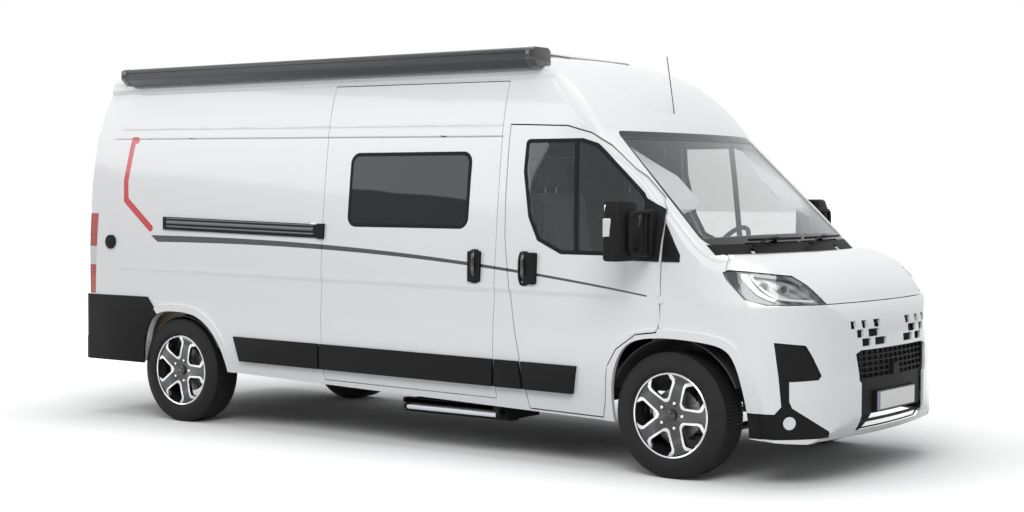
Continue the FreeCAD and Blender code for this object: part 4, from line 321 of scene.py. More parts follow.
def pane(name, absorbed, printed=None, tint=(0.90, 0.95, 0.96), straight=0.035, slanted=0.75):
    """Thin glass: clear head on and a mirror at a flat angle, with a black print where asked."""
    s = Shader(name, Metallic=1.0, Roughness=0.02)
    facing = s.node("ShaderNodeLayerWeight", None, {"Blend": 0.5}, output=1)
    mirrored = facing.math("POWER", 4.0) * slanted + straight
    body = absorbed + s.noise(0.7, 1.0) * 0.02
    alpha = mirrored + body - mirrored * body
    shade = s.mix(mirrored / alpha, (0.004, 0.005, 0.006), tint)
    if printed:
        mask = printed(*s.axes())
        alpha = alpha.most(mask)
        shade = s.mix(mask, shade, (0.006, 0.006, 0.007))
        s.feed("Metallic", 1 - mask)
    s.feed("Alpha", alpha)
    s.feed("Base Color", shade)
    return s.feed("Roughness", 0.012 + s.noise(2.0) * 0.02)


@finish
def screen_glass():
    """Clear laminated glass with the printed black edge."""
    def printed(_, y, z):
        side = y.abs().above(0.866 - (z - 1.335) * 0.125, 0.004)
        foot = z.below(1.385 - y * y * 0.02, 0.006)
        head = z.above(1.955, 0.006)
        return side.most(foot).most(head)
    return pane("screen_glass", 0.05, printed, slanted=0.6)


@finish
def dark_glass():
    """Smoked acrylic of the hinged side and rear windows."""
    return pane("dark_glass", 0.965, tint=(0.92, 0.97, 1.0), straight=0.030)


@finish
def door_glass():
    return pane("door_glass", 0.22)


@finish
def tail_lens():
    """Red, clear and red bands from the top down, with fine prisms."""
    s = Shader("tail_lens", Roughness=0.12, Coat_Weight=0.8, Coat_Roughness=0.02, IOR=1.5)
    x, y, z = s.axes()
    clear = band(z, 1.085, 1.225, 0.004) * y.abs().above(0.3)
    amber = band(z, 1.225, 1.30, 0.004) * y.abs().above(0.3)
    edge = band(z, 1.083, 1.087, 0.001) + band(z, 1.223, 1.227, 0.001) + band(z, 1.298, 1.302, 0.001)
    red = s.mix((z * 260.0).math("SINE") * 0.5 + 0.5, (0.30, 0.006, 0.010), (0.55, 0.02, 0.022))
    tint = s.mix(clear, red, (0.62, 0.62, 0.62))
    s.feed("Base Color", s.mix(edge, s.mix(amber, tint, (0.42, 0.015, 0.012)), (0.05, 0.004, 0.004)))
    prisms = (z * 700.0).math("SINE") * (y * 500.0 + x * 500.0).math("SINE")
    return s.bump(prisms, 0.25, 0.001)


@finish
def awning_case():
    """Anthracite powder coat, finely speckled."""
    s = Shader("awning_case", Roughness=0.42, Coat_Weight=0.15, Coat_Roughness=0.3)
    speck = s.noise(700.0, 2.0)
    s.feed("Base Color", s.mix(speck, (0.011, 0.012, 0.014), (0.024, 0.0255, 0.029)))
    s.feed("Roughness", 0.36 + s.noise(8.0) * 0.12)
    return s.bump(speck, 0.10, 0.0004)


def drawn_lines(s):
    """Fine lines along a drawn metal profile."""
    stretched = s.node("ShaderNodeMapping", None, {"Vector": s.place, "Scale": (0.03, 8, 8)})
    return s.noise(60.0, 3.0, place=stretched)


@finish
def silver():
    """Anodised profile with fine lines along its length."""
    s = Shader("anodised_silver", Metallic=0.9, Roughness=0.34)
    lines = drawn_lines(s)
    s.feed("Base Color", s.mix(lines, (0.46, 0.47, 0.48), (0.62, 0.63, 0.65)))
    s.feed("Roughness", 0.28 + lines * 0.16)
    return s.bump(lines, 0.08, 0.0003)


@finish
def chassis_black():
    """Black chassis paint with patches of dust."""
    s = Shader("chassis_black", Roughness=0.6)
    dust = s.noise(9.0, 5.0, 0.7)
    s.feed("Base Color", s.mix(dust, (0.012, 0.012, 0.013), (0.060, 0.056, 0.050)))
    s.feed("Roughness", 0.45 + dust * 0.35)
    return s.bump(s.noise(160.0, 3.0), 0.15, 0.0008)


@finish
def bare_steel():
    s = Shader("bare_steel", Metallic=0.95, Roughness=0.4)
    stain = s.noise(14.0, 5.0, 0.65)
    s.feed("Base Color", s.mix(stain, (0.20, 0.19, 0.18), (0.46, 0.45, 0.44)))
    s.feed("Roughness", 0.30 + stain * 0.3)
    return s.bump(s.noise(240.0, 3.0), 0.12, 0.0006)


@finish
def cast_metal():
    s = Shader("cast_metal", Metallic=0.7, Roughness=0.55)
    sand = s.noise(300.0, 4.0)
    s.feed("Base Color", s.mix(s.noise(7.0, 4.0), (0.16, 0.16, 0.165), (0.30, 0.30, 0.31)))
    s.feed("Roughness", 0.45 + sand * 0.2)
    return s.bump(sand, 0.4, 0.001)


@finish
def machined():
    """Bright turned alloy with a clear coat."""
    s = Shader("machined_alloy", Metallic=0.95, Roughness=0.22, Coat_Weight=0.5, Coat_Roughness=0.05)
    marks = s.noise(420.0, 2.0)
    s.feed("Base Color", s.mix(marks, (0.60, 0.61, 0.63), (0.74, 0.75, 0.77)))
    s.feed("Roughness", 0.18 + marks * 0.10)
    return s.bump(marks, 0.05, 0.0003)


@finish
def rim_black():
    s = Shader("rim_black", Roughness=0.2, Coat_Weight=0.8, Coat_Roughness=0.05)
    s.feed("Base Color", s.mix(s.noise(30.0, 3.0), (0.010, 0.010, 0.011), (0.020, 0.020, 0.022)))
    s.feed("Roughness", 0.16 + s.noise(12.0, 3.0) * 0.1)
    return s


@finish
def tyre_rubber():
    """Rubber with a fine grain and a little dust."""
    s = Shader("tyre_rubber", Roughness=0.75, Specular_IOR_Level=0.3)
    haze = s.noise(5.0, 5.0, 0.65)
    s.feed("Base Color", s.mix(haze, (0.007, 0.007, 0.0075), (0.018, 0.0175, 0.017)))
    s.feed("Roughness", 0.62 + haze * 0.22)
    return s.bump(s.noise(380.0, 4.0), 0.25, 0.0007)


@finish
def board():
    """Pale laminated furniture board with a fine wood figure."""
    s = Shader("furniture_board", Roughness=0.45)
    stretched = s.node("ShaderNodeMapping", None, {"Vector": s.place, "Scale": (1.0, 14.0, 14.0)})
    figure = s.noise(3.0, 6.0, 0.6, place=stretched)
    s.feed("Base Color", s.mix(figure, (0.36, 0.27, 0.19), (0.56, 0.46, 0.34)))
    s.feed("Roughness", 0.38 + figure * 0.2)
    return s.bump(figure, 0.12, 0.0006)


def woven(name, dark, light, pitch=900.0):
    """Cloth with a plain weave from crossed waves and a loose fleck."""
    s = Shader(name, Roughness=0.9, Sheen_Weight=0.25, Sheen_Roughness=0.5)
    x, y, z = s.axes()
    threads = ((x + z * 0.6) * pitch).math("SINE") * ((y + z * 0.6) * pitch).math("SINE")
    fleck = s.noise(60.0, 4.0, 0.7)
    s.feed("Base Color", s.mix(fleck * 0.7 + threads * 0.15 + 0.1, dark, light))
    s.feed("Roughness", 0.82 + fleck * 0.15)
    return s.bump(threads * 0.6 + fleck, 0.35, 0.0009)


@finish
def seat_cloth():
    base = tuple(colours().cloth)
    return woven("seat_cloth", tuple(c * 0.55 for c in base), tuple(c * 1.6 for c in base))


@finish
def mattress_cloth():
    return woven("mattress_cloth", (0.30, 0.30, 0.31), (0.50, 0.50, 0.50), 600.0)


@finish
def lamp_body():
    """Grey reflector behind the headlamp lens, with broad soft facet relief and painted highlight and shade
    across it.
    """
    s = Shader("lamp_body", Metallic=0.55, Roughness=0.3)
    x, y, z = s.axes()
    facets_and_highlights = ((z * 150.0 + x * 60.0).math("SINE") * (y * 70.0).math("SINE")) * 0.5 + 0.5
    # Painted highlight and shade: the reflector's colour runs paler and darker with the facet pattern, as if
    # catching the light.
    s.feed("Base Color", s.mix(facets_and_highlights, (0.10, 0.105, 0.11), (0.36, 0.37, 0.38)))
    s.feed("Roughness", 0.24 + facets_and_highlights * 0.12)
    return s.bump(facets_and_highlights, 0.4, 0.002)


@finish
def lamp_grey():
    s = Shader("lamp_grey", Metallic=0.3, Roughness=0.25)
    fine = s.noise(60.0, 2.0)
    s.feed("Base Color", s.mix(fine, (0.34, 0.35, 0.36), (0.46, 0.47, 0.48)))
    return s.feed("Roughness", 0.2 + fine * 0.1)


@finish
def rail_grey():
    """Grey anodised channel of the slide rail."""
    s = Shader("rail_grey", Metallic=0.6, Roughness=0.42)
    lines = drawn_lines(s)
    s.feed("Base Color", s.mix(lines, (0.085, 0.087, 0.09), (0.17, 0.173, 0.178)))
    s.feed("Roughness", 0.36 + lines * 0.14)
    return s.bump(lines, 0.08, 0.0003)


@finish
def clear_lens():
    return pane("clear_lens", 0.03, tint=(0.92, 0.94, 0.96))


@finish
def lamp_white():
    s = Shader("lamp_white", Roughness=0.2, Coat_Weight=0.6)
    fine = s.noise(40.0, 2.0)
    s.feed("Base Color", s.mix(fine, (0.72, 0.73, 0.74), (0.80, 0.81, 0.82)))
    return s.feed("Roughness", 0.14 + fine * 0.1)


@finish
def bare_plate():
    """Blank white sheet with a plain blue end band and a thin dark border."""
    s = Shader("bare_plate", Roughness=0.35, Coat_Weight=0.4)
    x, y, z = s.axes()
    blue = y.below(-0.218, 0.001)
    border = y.abs().above(0.2545, 0.001).most(z.above(0.4945, 0.001)).most(z.below(0.3955, 0.001))
    bead = s.cells(700.0)
    white = s.mix(bead, (0.72, 0.72, 0.71), (0.80, 0.80, 0.79))
    s.feed("Base Color", s.mix(border, s.mix(blue, white, (0.012, 0.050, 0.28)), (0.03, 0.03, 0.03)))
    return s.bump(bead, 0.08, 0.0003)


@finish
def smoked_vent():
    s = Shader("smoked_vent", Roughness=0.3, IOR=1.5)
    haze = s.noise(6.0, 3.0)
    s.feed("Base Color", s.mix(haze, (0.28, 0.29, 0.31), (0.42, 0.43, 0.45)))
    return s.feed("Roughness", 0.22 + haze * 0.14)


@finish
def amber():
    s = Shader("amber_lens", Roughness=0.15, Coat_Weight=0.7)
    ribs = s.noise(50.0, 2.0)
    s.feed("Base Color", s.mix(ribs, (0.62, 0.60, 0.57), (0.74, 0.72, 0.68)))
    return s.feed("Roughness", 0.1 + ribs * 0.12)


@finish
def mirror_face():
    s = Shader("mirror_face", Metallic=1.0, Roughness=0.02)
    s.feed("Base Color", s.mix(s.noise(1.0), (0.80, 0.81, 0.82), (0.84, 0.85, 0.86)))
    return s.feed("Roughness", 0.015 + s.noise(3.0) * 0.01)


@finish
def floor_lining():
    """Grey lining of the load floor and the cab, with a fine pebble."""
    s = Shader("floor_lining", Roughness=0.7)
    pebble = s.cells(160.0)
    worn = s.noise(4.0, 4.0)
    s.feed("Base Color", s.mix(worn, (0.045, 0.045, 0.047), (0.085, 0.084, 0.082)))
    s.feed("Roughness", 0.6 + worn * 0.25)
    return s.bump(pebble, 0.2, 0.0008)


# Modelling helpers

def deselect():
    if bpy.context.mode != "OBJECT":
        bpy.ops.object.mode_set(mode="OBJECT")
    bpy.ops.object.select_all(action="DESELECT")


def only(*objects):
    deselect()
    for each in objects:
        each.select_set(True)
    bpy.context.view_layer.objects.active = objects[0]
    return objects[0]


def editing(obj, *steps):
    """Runs edit-mode steps on the whole of one object."""
    only(obj)
    bpy.ops.object.mode_set(mode="EDIT")
    bpy.ops.mesh.select_all(action="SELECT")
    for step in steps:
        step()
    bpy.ops.object.mode_set(mode="OBJECT")
    return obj


def merge():
    bpy.ops.mesh.remove_doubles(threshold=0.00005)


def face_out():
    bpy.ops.mesh.select_all(action="SELECT")
    bpy.ops.mesh.normals_make_consistent(inside=False)


def modified(obj, kind, **settings):
    only(obj)
    modifier = obj.modifiers.new(kind.lower(), kind)
    for key, value in settings.items():
        setattr(modifier, key, value)
    bpy.ops.object.modifier_apply(modifier=modifier.name)
    return obj


def bevelled(obj, width, segments=2, angle=30):
    return modified(obj, "BEVEL", width=width, segments=segments, limit_method="ANGLE",
                    angle_limit=math.radians(angle), harden_normals=False)


def joined(name, *objects):
    """One object of several, with the name given."""
    base = only(*objects)
    if len(objects) > 1:
        bpy.ops.object.join()
    base.name = name
    return base


def box_of(name, low, high, bevel=0.0, segments=2):
    deselect()
    centre = [(a + b) / 2 for a, b in zip(low, high)]
    bpy.ops.mesh.primitive_cube_add(size=1, location=centre)
    made = bpy.context.object
    made.name = name
    made.scale = [abs(b - a) for a, b in zip(low, high)]
    bpy.ops.object.transform_apply(location=True, rotation=True, scale=True)
    return bevelled(made, bevel, segments) if bevel else made


def sheet_of(name, points):
    """A flat face, made of a circle whose corners move to the points."""
    deselect()
    bpy.ops.mesh.primitive_circle_add(vertices=len(points), fill_type="NGON", location=(0, 0, 0))
    made = bpy.context.object
    made.name = name
    for vertex, point in zip(made.data.vertices, points):
        vertex.co = point
    return made


def prism_of(name, points, way, bevel=0.0, segments=2):
    """A flat outline drawn out along a way."""
    made = editing(sheet_of(name, points),
                   lambda: bpy.ops.mesh.extrude_region_move(TRANSFORM_OT_translate={"value": way}), face_out)
    return bevelled(made, bevel, segments) if bevel else made


def turned(name, profile, steps=64):
    """A closed profile of (radius, way out along y) points, spun about the y axis."""
    made = sheet_of(name, [(radius, along, 0) for radius, along in profile])
    return editing(made, lambda: bpy.ops.mesh.delete(type="ONLY_FACE"),
                   lambda: bpy.ops.mesh.select_all(action="SELECT"),
                   lambda: bpy.ops.mesh.spin(steps=steps, angle=math.tau, center=(0, 0, 0), axis=(0, 1, 0)),
                   lambda: bpy.ops.mesh.select_all(action="SELECT"), merge, face_out)


def cut(obj, tool, operation="DIFFERENCE", keep=False):
    modified(obj, "BOOLEAN", object=tool, operation=operation, solver="EXACT")
    if not keep:
        bpy.data.objects.remove(tool)
    return obj


def copied(obj, name, matrix=None):
    """A copy with its own mesh, moved by a matrix that may mirror it."""
    made = obj.copy()
    made.data = obj.data.copy()
    made.name = name
    made.parent = None
    bpy.context.scene.collection.objects.link(made)
    if matrix is not None:
        made.data.transform(matrix)
        if matrix.determinant() < 0:
            made.data.flip_normals()
    return made


def turn(degrees, axis="Y"):
    return Matrix.Rotation(math.radians(degrees), 4, axis)


def shift(*way):
    return Matrix.Translation(way)


MIRROR = Matrix.Scale(-1, 4, (0, 1, 0))


def painted(obj, first, *others):
    """Puts finishes on an object: each of the others is (finish, test of a face)."""
    mesh = obj.data
    mesh.materials.clear()
    mesh.materials.append(first)
    for number, (material, test) in enumerate(others, 1):
        mesh.materials.append(material)
        for face in mesh.polygons:
            if test(face):
                face.material_index = number
    return obj


def dressed(obj, body, slot, *nodes, angle=32, even=False):
    """Smooths a finished piece and hangs it on its body, in place of the nodes given."""
    only(obj)
    bpy.ops.object.shade_smooth_by_angle(angle=math.radians(angle))
    if even:
        modified(obj, "WEIGHTED_NORMAL", mode="FACE_AREA", weight=50, keep_sharp=True)
    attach(obj, body)
    if nodes:
        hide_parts(*nodes)
    deselect()
    return obj


def panel_copy(node):
    """A merged, smoothly shaded copy of a CAD node's mesh."""
    made = copied(NODES[node], node + "_skin")
    for key in list(made.keys()):
        del made[key]
    made.data.materials.clear()
    only(made)
    bpy.ops.mesh.customdata_custom_splitnormals_clear()
    return editing(made, merge)


def middle(node):
    low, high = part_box(node)
    return (low + high) / 2


def tube_of(name, points, radius, closed=False, order=3, sides=2):
    """A round rod along a smooth line."""
    data = bpy.data.curves.new(name, "CURVE")
    data.dimensions = "3D"
    data.bevel_depth = radius
    data.bevel_resolution = sides
    data.use_fill_caps = not closed
    data.resolution_u = 8
    line = data.splines.new("NURBS")
    line.points.add(len(points) - 1)
    for place, point in zip(line.points, points):
        place.co = (*point, 1)
    line.use_cyclic_u = closed
    line.use_endpoint_u = not closed
    line.order_u = order
    made = bpy.data.objects.new(name, data)
    bpy.context.scene.collection.objects.link(made)
    only(made)
    bpy.ops.object.convert(target="MESH")
    return editing(bpy.context.object, merge, face_out)


TREES = {}


def surface_tree(obj):
    mesh = obj.data
    return BVHTree.FromPolygons([v.co.copy() for v in mesh.vertices],
                                [tuple(f.vertices) for f in mesh.polygons])


def touch(node, start, way):
    """Where a straight line first meets a CAD node."""
    if node not in TREES:
        TREES[node] = surface_tree(NODES[node])
    place, normal, _, _ = TREES[node].ray_cast(Vector(start), Vector(way).normalized())
    if place is None:
        raise ValueError("no meeting with " + node)
    return place, normal


def side_touch(node, x, z, side):
    return touch(node, (x, side * 1.6, z), (0, -side, 0))[0]


PAINTED = ["bonnet", "front_wings", "front_door_left", "front_door_right", "rear_door_left",
           "rear_door_right", "side_panel_left", "side_panel_right", "sliding_door", "roof_panel",
           "front_bumper"]
BLACK = ["cowl_panel", "rear_bumper", "lower_grille", "bumper_insert", "door_trim_left", "door_trim_right",
         "side_trim"]


def inward(face):
    """True for a face that looks into the cabin."""
    x, y, z = face.center
    n = face.normal
    deep = abs(y) < 1.0 and x < 2.2
    return deep and (n.y * y < -0.3 * abs(y) or (z > 1.9 and n.z < -0.4) or (x < -2.8 and n.x > 0.5))


GROOVE_TILT = -0.0095
SWAGE_TILT = -0.0092
GROOVES = [(2.066, 0.009, 0.004), (2.000, 0.010, 0.006)]
SWAGE = [(1.086, 0.0), (1.072, 0.002), (1.054, 0.008), (1.040, 0.010), (0.86, 0.0)]
FLANKS = ["side_panel_left", "side_panel_right", "sliding_door", "front_door_left", "front_door_right"]


def between(value, low, high):
    """Share of the way from low to high, held between 0 and 1."""
    return min(max((value - low) / (high - low), 0.0), 1.0)


def pressed_depth(x, z):
    """How far the flank is pressed in at a place of its side view."""
    depth = 0.0
    height = z - GROOVE_TILT * (x + 2.725)
    if x < 0.81:
        for place, half, deep in GROOVES:
            depth += deep * max(1 - abs(height - place) / half, 0.0)
        depth += 0.004 * between(2.000, height, height + 0.010) * between(height, 1.45, 2.000)
    height = z - SWAGE_TILT * (x + 2.70)
    for (high, deep), (low, deeper) in zip(SWAGE, SWAGE[1:]):
        if low <= height < high:
            share = between(high - height, 0, high - low)
            depth += (deep + (deeper - deep) * share) * between(1.93, x, x + 0.3)
    return depth * between(x, -2.76, -2.62)


def press_flank(skin):
    """Presses the two upper grooves and the broad lower crease into a side panel or door."""
    heights = [(z, GROOVE_TILT) for place, half, _ in GROOVES for z in (place - half, place, place + half)]
    heights += [(z, SWAGE_TILT) for z, _ in SWAGE] + [(1.45, 0.0)]
    planes = [((-2.7, 0, z), (-tilt, 0, 1)) for z, tilt in heights]
    planes += [((x, 0, 0), (1, 0, 0)) for x in (-2.76, -2.62, 1.63, 1.93)]
    for place, normal in planes:
        editing(skin, lambda: bpy.ops.mesh.bisect(plane_co=place, plane_no=normal))
    for vertex in skin.data.vertices:
        if abs(vertex.co.y) > 0.88:
            vertex.co.y -= math.copysign(pressed_depth(vertex.co.x, vertex.co.z), vertex.co.y)
    return skin


class VAN_OT_panels(bpy.types.Operator):
    """Paint the body panels and line them inside"""

    bl_idname = "van.panels"
    bl_label = "Body panels"

    def execute(self, context):
        for node in PAINTED:
            skin = panel_copy(node)
            if node in FLANKS:
                press_flank(skin)
            painted(skin, paint(), (floor_lining(), inward))
            dressed(skin, NODES[node]["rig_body"], "body_white", node, angle=28, even=True)
        return {"FINISHED"}


class VAN_OT_trims(bpy.types.Operator):
    """Finish the black plastic covers and mouldings"""

    bl_idname = "van.trims"
    bl_label = "Black trims"

    def execute(self, context):
        for node in BLACK:
            skin = panel_copy(node)
            if not node.startswith(("lower", "cowl")):
                modified(skin, "BEVEL", width=0.0025, segments=2, limit_method="ANGLE",
                         angle_limit=math.radians(50))
            painted(skin, flat_black())
            dressed(skin, NODES[node]["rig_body"], "black_plastic", node, angle=35)
        return {"FINISHED"}


class VAN_OT_glass(bpy.types.Operator):
    """Give the windows their tint and printed edges"""

    bl_idname = "van.glass"
    bl_label = "Windows"

    def execute(self, context):
        finishes = {"windscreen": screen_glass, "side_windows": dark_glass, "rear_window_left": dark_glass,
                    "rear_window_right": dark_glass, "door_glass_left": door_glass,
                    "door_glass_right": door_glass}
        for node, glass in finishes.items():
            skin = panel_copy(node)
            painted(skin, glass())
            slot = "screen_glass" if node == "windscreen" else "tinted_glass"
            dressed(skin, NODES[node]["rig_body"], slot, node, angle=30)
        return {"FINISHED"}


class VAN_OT_carried(bpy.types.Operator):
    """Give the remaining CAD nodes their finishes"""

    bl_idname = "van.carried"
    bl_label = "Chassis and fittings"

    def execute(self, context):
        finishes = {"roof_fittings": gloss_black, "roof_vent_lid": smoked_vent, "number_plate": bare_plate,
                    "tail_lamps": tail_lens, "floor_pan": floor_lining, "seat_bases": flat_black,
                    "rear_bed": board, "kitchen_unit": board, "engine": cast_metal,
                    "front_frame": chassis_black, "knuckle_left": chassis_black,
                    "knuckle_right": chassis_black, "rear_axle": chassis_black, "tanks": flat_black,
                    "exhaust": bare_steel, "step_housing": flat_black, "dashboard": flat_black,
                    "steering_wheel": flat_black}
        for node, material in finishes.items():
            for slot in NODES[node].material_slots:
                slot.material = material()
        return {"FINISHED"}


# Wheels: a rim with five windows edged in bright metal, a treaded tyre, and the brake behind

WINDOW_INNER = [(0.40, 0.0), (0.42, 0.07), (0.70, 0.285), (0.76, 0.30), (0.95, 0.215), (0.95, -0.215),
                (0.76, -0.30), (0.70, -0.285), (0.42, -0.07)]
WINDOW_OUTER = [(0.315, 0.0), (0.345, 0.075), (0.70, 0.36), (0.785, 0.38), (1.0, 0.275), (1.0, -0.275),
                (0.785, -0.38), (0.70, -0.36), (0.345, -0.075)]
FIRST_WINDOW = 36


def wheel_window(name, outline, radius, degrees):
    turned_by = math.radians(degrees)
    points = []
    for along, across in outline:
        x = (along * math.cos(turned_by) - across * math.sin(turned_by)) * radius
        z = (along * math.sin(turned_by) + across * math.cos(turned_by)) * radius
        points.append((x, -0.06, z))
    return prism_of(name, points, (0, 0.14, 0))


def wheel_windows(name, outline, radius):
    count = sizes().spoke_count
    return joined(name, *[wheel_window(name, outline, radius, FIRST_WINDOW + 360 / count * number)
                          for number in range(count)])


def dish(name, radius, lift, thickness):
    """The turned face of the rim, lifted outwards by a little."""
    front = [(0.0, 0.020), (0.26, 0.018), (0.36, 0.012), (0.60, 0.004), (0.88, 0.003), (0.955, 0.009)]
    outline = [(share * radius + 0.0001, place - lift) for share, place in front]
    outline += [(share * radius + 0.0001, place - lift + thickness) for share, place in reversed(front)]
    return turned(name, outline, 80)


def rim_shape():
    """A rim whose outer face looks towards -y and stands at y = 0."""
    low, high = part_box("rim_front_right")
    radius = (high.z - low.z) / 2
    depth = high.y - low.y
    barrel = [(radius - 0.004, 0.0), (radius, 0.003), (radius, 0.013), (radius - 0.010, 0.017),
              (radius - 0.012, 0.055), (radius - 0.030, 0.085), (radius - 0.030, depth - 0.05),
              (radius - 0.012, depth - 0.03), (radius, depth - 0.012), (radius, depth - 0.001),
              (radius - 0.006, depth - 0.001), (radius - 0.020, depth - 0.03),
              (radius - 0.038, depth - 0.055), (radius - 0.038, 0.085), (radius - 0.020, 0.05),
              (radius - 0.0135, 0.012), (radius - 0.0115, 0.003)]
    ring = turned("rim_barrel", barrel, 96)
    lip = radius - 0.02
    painted(ring, rim_black(), (machined(), lambda f: f.center.y < 0.0030 and f.center.xz.length > lip))
    face = cut(dish("rim_dish", radius, 0.0, 0.026), wheel_windows("openings", WINDOW_INNER, radius))
    bevelled(face, 0.0025, 2, 40)
    painted(face, rim_black())
    edge = cut(dish("rim_edge", radius, 0.0018, 0.010), wheel_windows("edges", WINDOW_OUTER, radius),
               "INTERSECT")
    edge = cut(edge, wheel_windows("openings", WINDOW_INNER, radius))
    bevelled(edge, 0.0008, 1, 40)
    painted(edge, machined())
    bolts = []
    for number in range(sizes().spoke_count):
        bolt = turned("bolt", [(0.0001, 0.008), (0.0085, 0.008), (0.0105, 0.010), (0.0105, 0.022),
                               (0.0001, 0.022)], 6)
        seat = turned("seat", [(0.0125, 0.0155), (0.0155, 0.0135), (0.0185, 0.0175), (0.0125, 0.0185)], 20)
        for part in (bolt, seat):
            part.data.transform(turn(-72 * number) @ shift(0.300 * radius, 0, 0))
            painted(part, machined() if part is bolt else rim_black())
            bolts.append(part)
    cap = turned("cap", [(0.0001, 0.006), (0.022, 0.0075), (0.0285, 0.011), (0.0300, 0.018),
                         (0.0300, 0.024), (0.0001, 0.024)], 40)
    painted(cap, gloss_black())
    cap_ring = turned("cap_ring", [(0.0305, 0.0125), (0.0335, 0.0115), (0.0345, 0.018), (0.0305, 0.018)], 40)
    painted(cap_ring, rim_black())
    valve = tube_of("valve", [(0.80 * radius, 0.004, -0.10 * radius),
                              (0.78 * radius, -0.004, -0.10 * radius),
                              (0.77 * radius, -0.008, -0.10 * radius)], 0.003)
    painted(valve, flat_black())
    valve.data.transform(shift(0, 0.004, 0))
    return joined("wheel_rim", ring, face, edge, cap, cap_ring, valve, *bolts)


def tyre_shape():
    """A tyre with moulded side rings and raised tread blocks, middle at the origin."""
    low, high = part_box("tyre_front_right")
    outer = (high.z - low.z) / 2
    half = (high.y - low.y) / 2
    rim_low, rim_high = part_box("rim_front_right")
    bead = (rim_high.z - rim_low.z) / 2 - 0.004
    base = outer - sizes().tread_depth
    tread = [0.80, 0.78, 0.52, 0.44, 0.20, 0.12]
    wall = [(bead, 0.80), (bead + 0.006, 0.86), (bead + 0.016, 0.90), (bead + 0.020, 0.955),
            (bead + 0.040, 1.0), (bead + 0.046, 0.992), (bead + 0.060, 0.990), (bead + 0.064, 0.975),
            (outer - 0.034, 0.935), (outer - 0.020, 0.885), (base - 0.004, 0.83)]
    half_line = [(r, share * half) for r, share in wall] + [(base, share * half) for share in tread]
    line = half_line + [(r, -y) for r, y in reversed(half_line)]
    line += [(bead + 0.004, -0.70 * half), (bead + 0.05, -0.75 * half), (outer - 0.03, -0.6 * half),
             (outer - 0.03, 0.6 * half), (bead + 0.05, 0.75 * half), (bead + 0.004, 0.70 * half)]
    made = turned("tyre", line, 108)
    spans = [(0.52, 0.80), (0.20, 0.44), (-0.12, 0.12), (-0.44, -0.20), (-0.80, -0.52)]

    def on_tread(face):
        reach = math.hypot(face.center.x, face.center.z)
        return reach > base - 0.003 and any(a < face.center.y / half < b for a, b in spans) and \
            abs(face.normal.y) < 0.3

    only(made)
    bpy.ops.object.mode_set(mode="EDIT")
    bpy.ops.mesh.select_all(action="DESELECT")
    bpy.ops.object.mode_set(mode="OBJECT")
    for face in made.data.polygons:
        face.select = on_tread(face) and face.normal.x * face.center.x + face.normal.z * face.center.z > 0
    bpy.ops.object.mode_set(mode="EDIT")
    bpy.ops.mesh.inset(thickness=0.0016, depth=sizes().tread_depth - 0.0006, use_individual=True)
    bpy.ops.object.mode_set(mode="OBJECT")
    return painted(made, tyre_rubber())


def brake_shape():
    """A vented disc and its caliper, outer face towards -y at y = 0."""
    disc = turned("disc", [(0.060, 0.0), (0.150, 0.0), (0.150, 0.009), (0.085, 0.010), (0.085, 0.016),
                           (0.150, 0.017), (0.150, 0.026), (0.060, 0.026)], 64)
    painted(disc, bare_steel())
    hat = turned("hat", [(0.036, -0.030), (0.060, -0.030), (0.066, -0.024), (0.066, 0.004), (0.036, 0.004)],
                 40)
    painted(hat, cast_metal())
    angles = [math.radians(-32 + 8 * number) for number in range(9)]
    points = [(reach * math.cos(angle), -0.026, reach * math.sin(angle))
              for reach, run in ((0.172, angles), (0.108, angles[::-1])) for angle in run]
    caliper = prism_of("caliper", points, (0, 0.072, 0), 0.008, 3)
    ribs = [box_of("rib", (0.150, -0.030, z - 0.010), (0.166, -0.016, z + 0.010), 0.003)
            for z in (-0.04, 0.0, 0.04)]
    piston = turned("piston", [(0.0001, -0.034), (0.020, -0.034), (0.024, -0.030), (0.024, -0.020),
                               (0.0001, -0.020)], 28)
    pistons = [copied(piston, "piston", shift(0.138, 0, z)) for z in (-0.032, 0.032)]
    bpy.data.objects.remove(piston)
    parts = [caliper, *ribs, *pistons]
    for part in parts:
        painted(part, cast_metal())
    return joined("brake", disc, hat, *parts)


class VAN_OT_wheels(bpy.types.Operator):
    """Model one rim, tyre and brake, and set a copy of each at every wheel"""

    bl_idname = "van.wheels"
    bl_label = "Wheels"

    def execute(self, context):
        rim, tyre, brake = rim_shape(), tyre_shape(), brake_shape()
        for wheel in WHEELS:
            left = wheel.endswith("left")
            low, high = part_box("rim_" + wheel)
            centre = (low + high) / 2
            face_y = high.y if left else low.y
            place = shift(centre.x, face_y, centre.z)
            flip = MIRROR if left else Matrix.Identity(4)
            rim_copy = copied(rim, "alloy_" + wheel, place @ flip)
            dressed(rim_copy, "wheel_" + wheel, "wheel_alloy", "rim_" + wheel, angle=35)
            tyre_copy = copied(tyre, "treaded_" + wheel, shift(*middle("tyre_" + wheel)) @ flip)
            dressed(tyre_copy, "wheel_" + wheel, "tyre_rubber", "tyre_" + wheel, angle=30)
            side = 1 if left else -1
            body = VAN if wheel.startswith("rear") else "knuckle_" + wheel.split("_")[1]
            back = shift(0, 0.085, 0)
            spin = turn(0) if wheel.startswith("front") else turn(180)
            brake_copy = copied(brake, "brake_" + wheel, place @ flip @ back @ spin)
            dressed(brake_copy, body, "black_steel", angle=35)
        for each in (rim, tyre, brake):
            bpy.data.objects.remove(each)
        return {"FINISHED"}


# Lamps

def loose(obj):
    """The separate pieces of an object."""
    only(obj)
    bpy.ops.object.mode_set(mode="EDIT")
    bpy.ops.mesh.select_all(action="SELECT")
    bpy.ops.mesh.separate(type="LOOSE")
    bpy.ops.object.mode_set(mode="OBJECT")
    return list(bpy.context.selected_objects)


def centre_of(obj):
    corners = [Vector(c) for c in obj.bound_box]
    return sum(corners, Vector()) / 8


